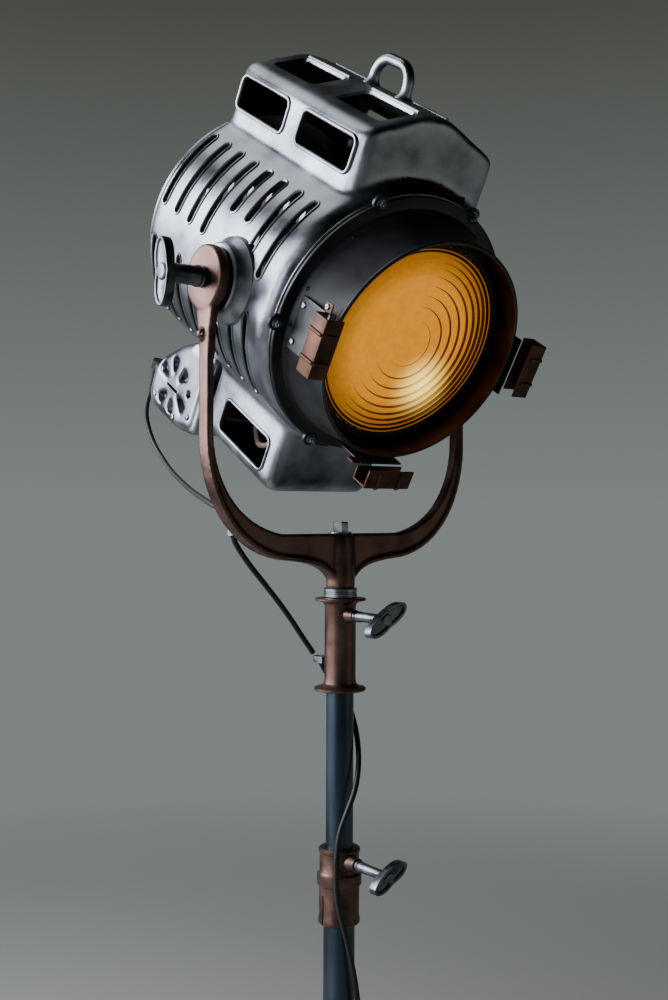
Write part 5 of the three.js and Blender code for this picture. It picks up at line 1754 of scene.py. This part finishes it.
onPole(sleevePiece(), "riser", "bronze", bronze, "sleeve")
onPole(clampPiece(), "stand", "bronze", bronze, "clamp_collar")
s = standSize
onPole(
    tubePiece("riserTube", s["riser"], 15.5, s["riserFoot"], s["riserTop"]), "riser", "blued_steel", tube,
    "riser_tube"
)
onPole(
    tubePiece("mastTube", s["mast"], 18.1, s["mastFoot"], s["mastTop"]), "stand", "blued_steel", tube,
    "mast_tube"
)
for size, body, y, z, spin in (
    ("pan", "pan_knob", -32.3, s["panKnob"], -57), ("height", "height_knob", -38.8, s["heightKnob"], -60)
):
    knob = moveMesh(wingKnob(size + "Knob", size), knobPlace(0, y, z, (0, -1, 0), spin))
    onPole(knob, body, "steel", darkSteel, body)
print("stand tubes made")

# Base: crown, legs, feet, slider, braces
base = {
    "crown": 34.0,
    "crownFoot": 620.0,
    "crownTop": 676.0,
    "pivot": 46.0,
    "pivotZ": 640.0,
    "leg": 12.5,
    "spread": 34.69,
    "reach": 480.0,
    "ways": (-90, 30, 150),
    "foot": 21.0,
    "footHeight": 26.0,
    "slider": 29.0,
    "sliderZ": 228.9,
    "brace": 250.0,
    "tongue": 10.0,
}


def aboutPole(deg):
    return Matrix.Rotation(radians(deg), 4, "Z")


def swungOut():
    b = base
    return Matrix.Translation(
        (b["pivot"] * mm, 0, b["pivotZ"] * mm)
    ) @ Matrix.Rotation(-radians(b["spread"]), 4, "Y")


def crownPiece():
    b = base
    f, t, r = b["crownFoot"], b["crownTop"], b["crown"]
    body = turned(
        "legCrown", "z",
        [
            (20.3, f), (r - 2, f), (r, f + 2), (r, f + 10), (r - 2, f + 12.5), (r - 2, t - 22), (r, t - 19.5),
            (r, t - 12), (r - 3, t - 7), (24.5, t), (20.3, t), (20.3, f)
        ],
        steps=72, shade=40,
    )
    parts = [body]
    for deg in b["ways"]:
        for side in (-1, 1):
            t0, t1 = sorted((side * 5.5, side * 11.4))
            cheek = pushed(
                "cheek", "y",
                [(24, 626), (50, 626), *arc((b["pivot"], b["pivotZ"]), 12, -60, 90, 8), (24, 656)], t0, t1
            )
            bevelled(cheek, 1.2, 2, 50)
            parts.append(moveMesh(cheek, aboutPole(deg)))
    crown = together("legCrown", *parts)
    return smoothShade(crown)


def crownPins():
    places = []
    for deg in base["ways"]:
        for side in (-1, 1):
            places.append(aboutPole(deg) @ facing(base["pivot"], side * 11.4, base["pivotZ"], (0, side, 0), 10))
    return spread("crownBolts", hexHead(7.2, 5.5, 1.2), places)


def legPiece(name):
    b = base
    length = hypot(b["reach"] - b["pivot"], b["pivotZ"] - b["footHeight"] / 2) - 4
    r = b["leg"]
    pipe = turned(
        "pipe", "z",
        [
            (0, -length), (r, -length), (r, -60), (r - 0.5, -58), (r - 0.5, -56), (r, -54), (r, -41),
            (r - 2, -39), (0, -39)
        ],
        steps=40,
    )
    ring = turned(
        "ferrule", "z",
        [
            (r - 1, -70), (r + 0.4, -70), (r + 0.7, -69.4), (r + 0.7, -50), (r + 0.4, -49.4), (r - 1, -49.4),
            (r - 1, -70)
        ],
        steps=40
    )
    tongue = pushed(
        "tongue", "y", [*arc((0, 0), 8.8, 0, 180, 10), (-8.8, -46), (8.8, -46)], -b["tongue"] / 2,
        b["tongue"] / 2
    )
    bevelled(tongue, 0.9, 2, 50)
    leg = together(name, pipe, ring, tongue)
    return smoothShade(moveMesh(leg, swungOut()))


def footPiece(name):
    b = base
    r = b["foot"]
    profile = [(0, 0), (r - 1.5, 0), (r, 1.2), (r, 4)]
    for i in range(4):
        z = 5 + i * 4.4
        rr = r - 0.4 - i * 0.75
        profile += [(rr - 1.2, z), (rr - 1.2, z + 1.1), (rr, z + 1.6), (rr - 0.4, z + 3.9)]
    profile += [(r * 0.82, 24.4), (r * 0.74, 26), (0, 26)]
    cup = turned(name, "z", profile, centre=(b["reach"], 0), steps=48)
    return smoothShade(cup, 30)


def sliderPiece():
    b = base
    z, r = b["sliderZ"], b["slider"]
    body = turned(
        "slider", "z",
        [
            (20.4, z - 18), (r - 1.5, z - 18), (r, z - 16.5), (r, z - 11), (r - 1.8, z - 9), (r - 1.8, z + 9),
            (r, z + 11), (r, z + 16.5), (r - 1.5, z + 18), (20.4, z + 18), (20.4, z - 18)
        ],
        steps=64, shade=40,
    )
    parts = [body]
    for deg in b["ways"]:
        lug = pushed("lug", "y", [(23, z - 9), *arc((b["pivot"], z), 9.4, -90, 90, 10), (23, z + 9)], -6, 14.6)
        bevelled(lug, 1.1, 2, 50)
        parts.append(moveMesh(lug, aboutPole(deg)))
    return smoothShade(together("braceSlider", *parts))


def bracePiece(name):
    b = base
    far = b["brace"]
    strap = pushed("strap", "y", [*arc((0, 0), 8, 180, 360, 10), *arc((0, far), 8, 0, 180, 10)], 15.1, 18.9)
    recessed(strap, lambda n: abs(n.y) > 0.9, 3.2, 0.7, 0.7, alone=True)
    near = moveMesh(hexHead(6, 4.6, 1.25), facing(0, 18.9, 0, (0, 1, 0)))
    end = moveMesh(hexHead(6, 4.6, 1.25), facing(0, 18.9, far, (0, 1, 0), 14))
    brace = together(name, strap, near, end)
    return smoothShade(
        moveMesh(
            brace,
            Matrix.Translation(
                (b["pivot"] * mm, 0, b["sliderZ"] * mm)
            ) @ Matrix.Rotation(radians(b["spread"]), 4, "Y")
        )
    )


onPole(crownPiece(), "stand", "bronze", bronze, "leg_crown")
onPole(crownPins(), "stand", "steel", steel)
onPole(sliderPiece(), "brace_slider", "bronze", bronze, "brace_slider")
for i, deg in enumerate(base["ways"], 1):
    place = polePlace @ aboutPole(deg)
    fit(legPiece(f"leg{i}"), place, f"leg_{i}", [f"leg_{i}"], [tube])
    fit(footPiece(f"foot{i}"), place, f"leg_{i}", [f"foot_{i}"], [rubber])
    fit(bracePiece(f"brace{i}"), place, f"brace_{i}", [f"brace_{i}"], [steel])
plugEnd = together(
    "mastPlug",
    turned("cap", "z", [(0, 82), (18.5, 82), (20, 83.5), (20, 88.7), (19, 89.7), (0, 89.7)], steps=56),
    turned("core", "z", [(0, 89), (15.3, 89), (15.3, 108.6), (14, 110), (0, 110)], steps=40),
)
onPole(plugEnd, "stand", "rubber", rubber, "mast_plug")
print("base made")

# Rear cover
rearSize = {
    "ventReach": 112.0, "ventShare": 0.78, "middleLow": -78.0, "screwRadius": 157.0, "outer": 162.7,
    "front": 222.3, "rear": 239.3, "vents": (-96, -64, -32, 0, 32, 64, 96), "ventWidth": 11.0, "rodZ": -120.0
}


# The lower and upper end of the vent at a given x. The middle one stops short of the focus rod.
def ventEnds(x):
    s = rearSize
    half = sqrt(s["ventReach"] ** 2 - x * x) * s["ventShare"]
    return s["middleLow"] if x == 0 else drum["rise"] - half, drum["rise"] + half


def rearCover():
    s = rearSize
    o, f, r = s["outer"], s["front"], s["rear"]
    body = turned(
        "rearCover", "y",
        [
            (0, r - 4), (60, r - 3), (118, r - 0.8), (140, r), (147, r - 1), (151, r - 4), (153, r - 6.4),
            (o - 1, r - 7), (o, r - 8), (o, f + 0.8), (o - 0.8, f), (150, f), (146, f + 6), (0, f + 6)
        ],
        centre=lensAxis, steps=112, shade=40,
    )
    cutters = []
    for x in s["vents"]:
        low, high = ventEnds(x)
        cutters.append(
            pushed(
                "vent", "y", roundedRect(x - s["ventWidth"] / 2, x + s["ventWidth"] / 2, low, high, 5, 5),
                f - 10, r + 10
            )
        )
    boolean(body, together("vents", *cutters))
    bored(body, "y", 6.5, f - 10, r + 10, (0, s["rodZ"]))
    return smoothShade(body)


def ventBeads():
    s = rearSize
    beads = []
    for x in s["vents"]:
        low, high = ventEnds(x)
        w = s["ventWidth"] / 2 + 1.6
        ring = roundedRect(x - w, x + w, low - 1.6, high + 1.6, 6, 5)
        # the bead follows the cover's shallow dome
        points = [Vector((u, s["rear"] - 4 + 0.02 * hypot(u, v - drum["rise"]), v)) * mm for u, v in ring]
        beads.append(tubeAlong("bead", points, 1.7, closed=True, roundness=2))
    return together("ventBeads", *beads)


onHead(rearCover(), "cast_aluminium", aluminium, "rear_cover")
onHead(ventBeads(), "cast_aluminium", aluminium)
rearScrews = spread(
    "rearScrews", slottedHead(4.6, 2.6),
    [onFace(30 + 60 * i, rearSize["screwRadius"], rearSize["rear"] - 7, (0, 1, 0), 37 * i) for i in range(6)]
)
onHead(rearScrews, "steel", steel)

# Inside: rails, carriage, lampholder, bulb, mirror, focus rod
inside = {"railX": 60.0, "railZ": -120.0, "bulbY": 52.0, "mirrorY": 112.3, "mirror": 66.0, "knobY": 285.0}
i = inside
for name, side in (("left", -1), ("right", 1)):
    rail = turned(
        name + "Rail", "y", [(0, -100.7), (4.2, -100.7), (5, -99.8), (5, 227), (4.2, 227.7), (0, 227.7)],
        centre=(side * i["railX"], i["railZ"]), steps=24
    )
    onHead(rail, "steel", steel, "focus_rail_" + name)


def carriagePiece():
    sled = blockOf("carriage", (-72, 30, -132), (72, 90, -108))
    bevelled(sled, 2.5, 3)
    for side in (-1, 1):
        bored(sled, "y", 5.3, 20, 100, (side * i["railX"], i["railZ"]))
        boolean(sled, pushed("pocket", "z", roundedRect(side * 36 - 13, side * 36 + 13, 38, 82, 5), -114, -100))
    bored(sled, "y", 4.3, 68, 100, (0, i["railZ"]), 20)
    arm = pushed(
        "arm", "y", [(-14, -110), (14, -110), (9, -96), (9, -60), (5, -54), (-5, -54), (-9, -60), (-9, -96)],
        85.2, 89.8
    )
    bevelled(arm, 0.8, 2)
    return smoothShade(together("focusCarriage", sled, arm))


onCarriage(carriagePiece(), "steel", steel, "focus_carriage")
holderProfile = [
    (0, -107.7), (21, -107.7), (23, -105.7), (23, -92), (20.6, -90), (20.6, -84), (22, -82), (22, -64),
    (20, -59), (17, -58), (16, -62), (0, -62)
]
lampHolder = turned("lampHolder", "z", holderProfile, centre=(0, i["bulbY"]), steps=48)
onCarriage(lampHolder, "ceramic", ceramic, "lampholder")
glass = turned(
    "bulbGlass", "z",
    [
        (0, -40), (13, -40), (14.5, -36), (20, -28), (24, -20), (24, 34), (22, 44), (16.8, 50), (8, 54.6),
        (0, 56)
    ],
    centre=(0, i["bulbY"]), steps=40, shade=60
)
cap = turned(
    "bulbCap", "z",
    [(0, -57.7), (15, -57.7), (15, -52), (14, -51), (15, -50), (15, -40), (14.6, -38), (0, -38)],
    centre=(0, i["bulbY"]), steps=36
)
coil = tubeAlong(
    "filament",
    [
        Vector(
            (4.5 * cos(t), i["bulbY"] + 4.5 * sin(t), -8 + t * 0.9)
        ) * mm for t in [k * 0.42 for k in range(60)]
    ],
    0.7, roundness=1
)
bulbPiece = together("bulb", glass, cap, coil)
coat(bulbPiece, clear, steel)
lined(bulbPiece, lambda c, n: c.z < -39.5 or hypot(c.x, c.y - i["bulbY"]) < 7.5 and -14 < c.z < 22)
fit(bulbPiece, headPlace, "focus_carriage", ["bulb"])
m, r = i["mirrorY"], i["mirror"]
dish = turned(
    "mirrorDish", "y",
    [
        (0, m), (r * 0.5, m - 7), (r * 0.8, m - 16), (r - 1, m - 21.6), (r, m - 21.8), (r, m - 19.4),
        (r * 0.8, m - 13), (r * 0.5, m - 4), (0, m + 3)
    ],
    centre=lensAxis, steps=72, shade=50,
)
onCarriage(dish, "reflector", mirror, "reflector")
rod = turned(
    "focusRod", "y", [(0, 70.3), (3.4, 70.3), (4, 71), (4, 284.7), (0, 284.7)], centre=(0, i["railZ"]), steps=24
)
onCarriage(rod, "steel", steel, "focus_rod")


def focusKnob():
    k = i["knobY"]
    body = turned(
        "focusKnob", "y",
        [
            (0, k), (10.6, k), (11.4, k + 0.8), (11.4, k + 5), (17.5, k + 8.4), (19, k + 10), (19, k + 20),
            (17.8, k + 22), (15, k + 24), (0, k + 25)
        ],
        centre=(0, i["railZ"]), steps=60, shade=40
    )
    grips = []
    for n in range(12):
        a = radians(30 * n)
        grips.append(peg("grip", "y", 2.3, k + 6, k + 30, (20 * cos(a), i["railZ"] + 20 * sin(a)), 12))
    boolean(body, together("grips", *grips))
    return smoothShade(body)


onCarriage(focusKnob(), "rubber", rubber, "focus_knob")
leadLine = [
    (0, 27, -140), (-3, 14, -146), (-16, 4, -182), (-34, -8, -208), (-38, 14, -226), (-30, 42, -220),
    (-22, 66, -200), (-18, 82, -190), (-18, 95, -188)
]
lead = tubeAlong("innerLead", smoothLine([Vector(p) * mm for p in leadLine], 0.004), 4, roundness=4)
onHead(lead, "rubber", gasket, "inner_lead")
for name in ("yoke_cord_clip", "sleeve_cord_clip"):
    coat(bpy.data.objects[name], steel)
print("rear and inside made")
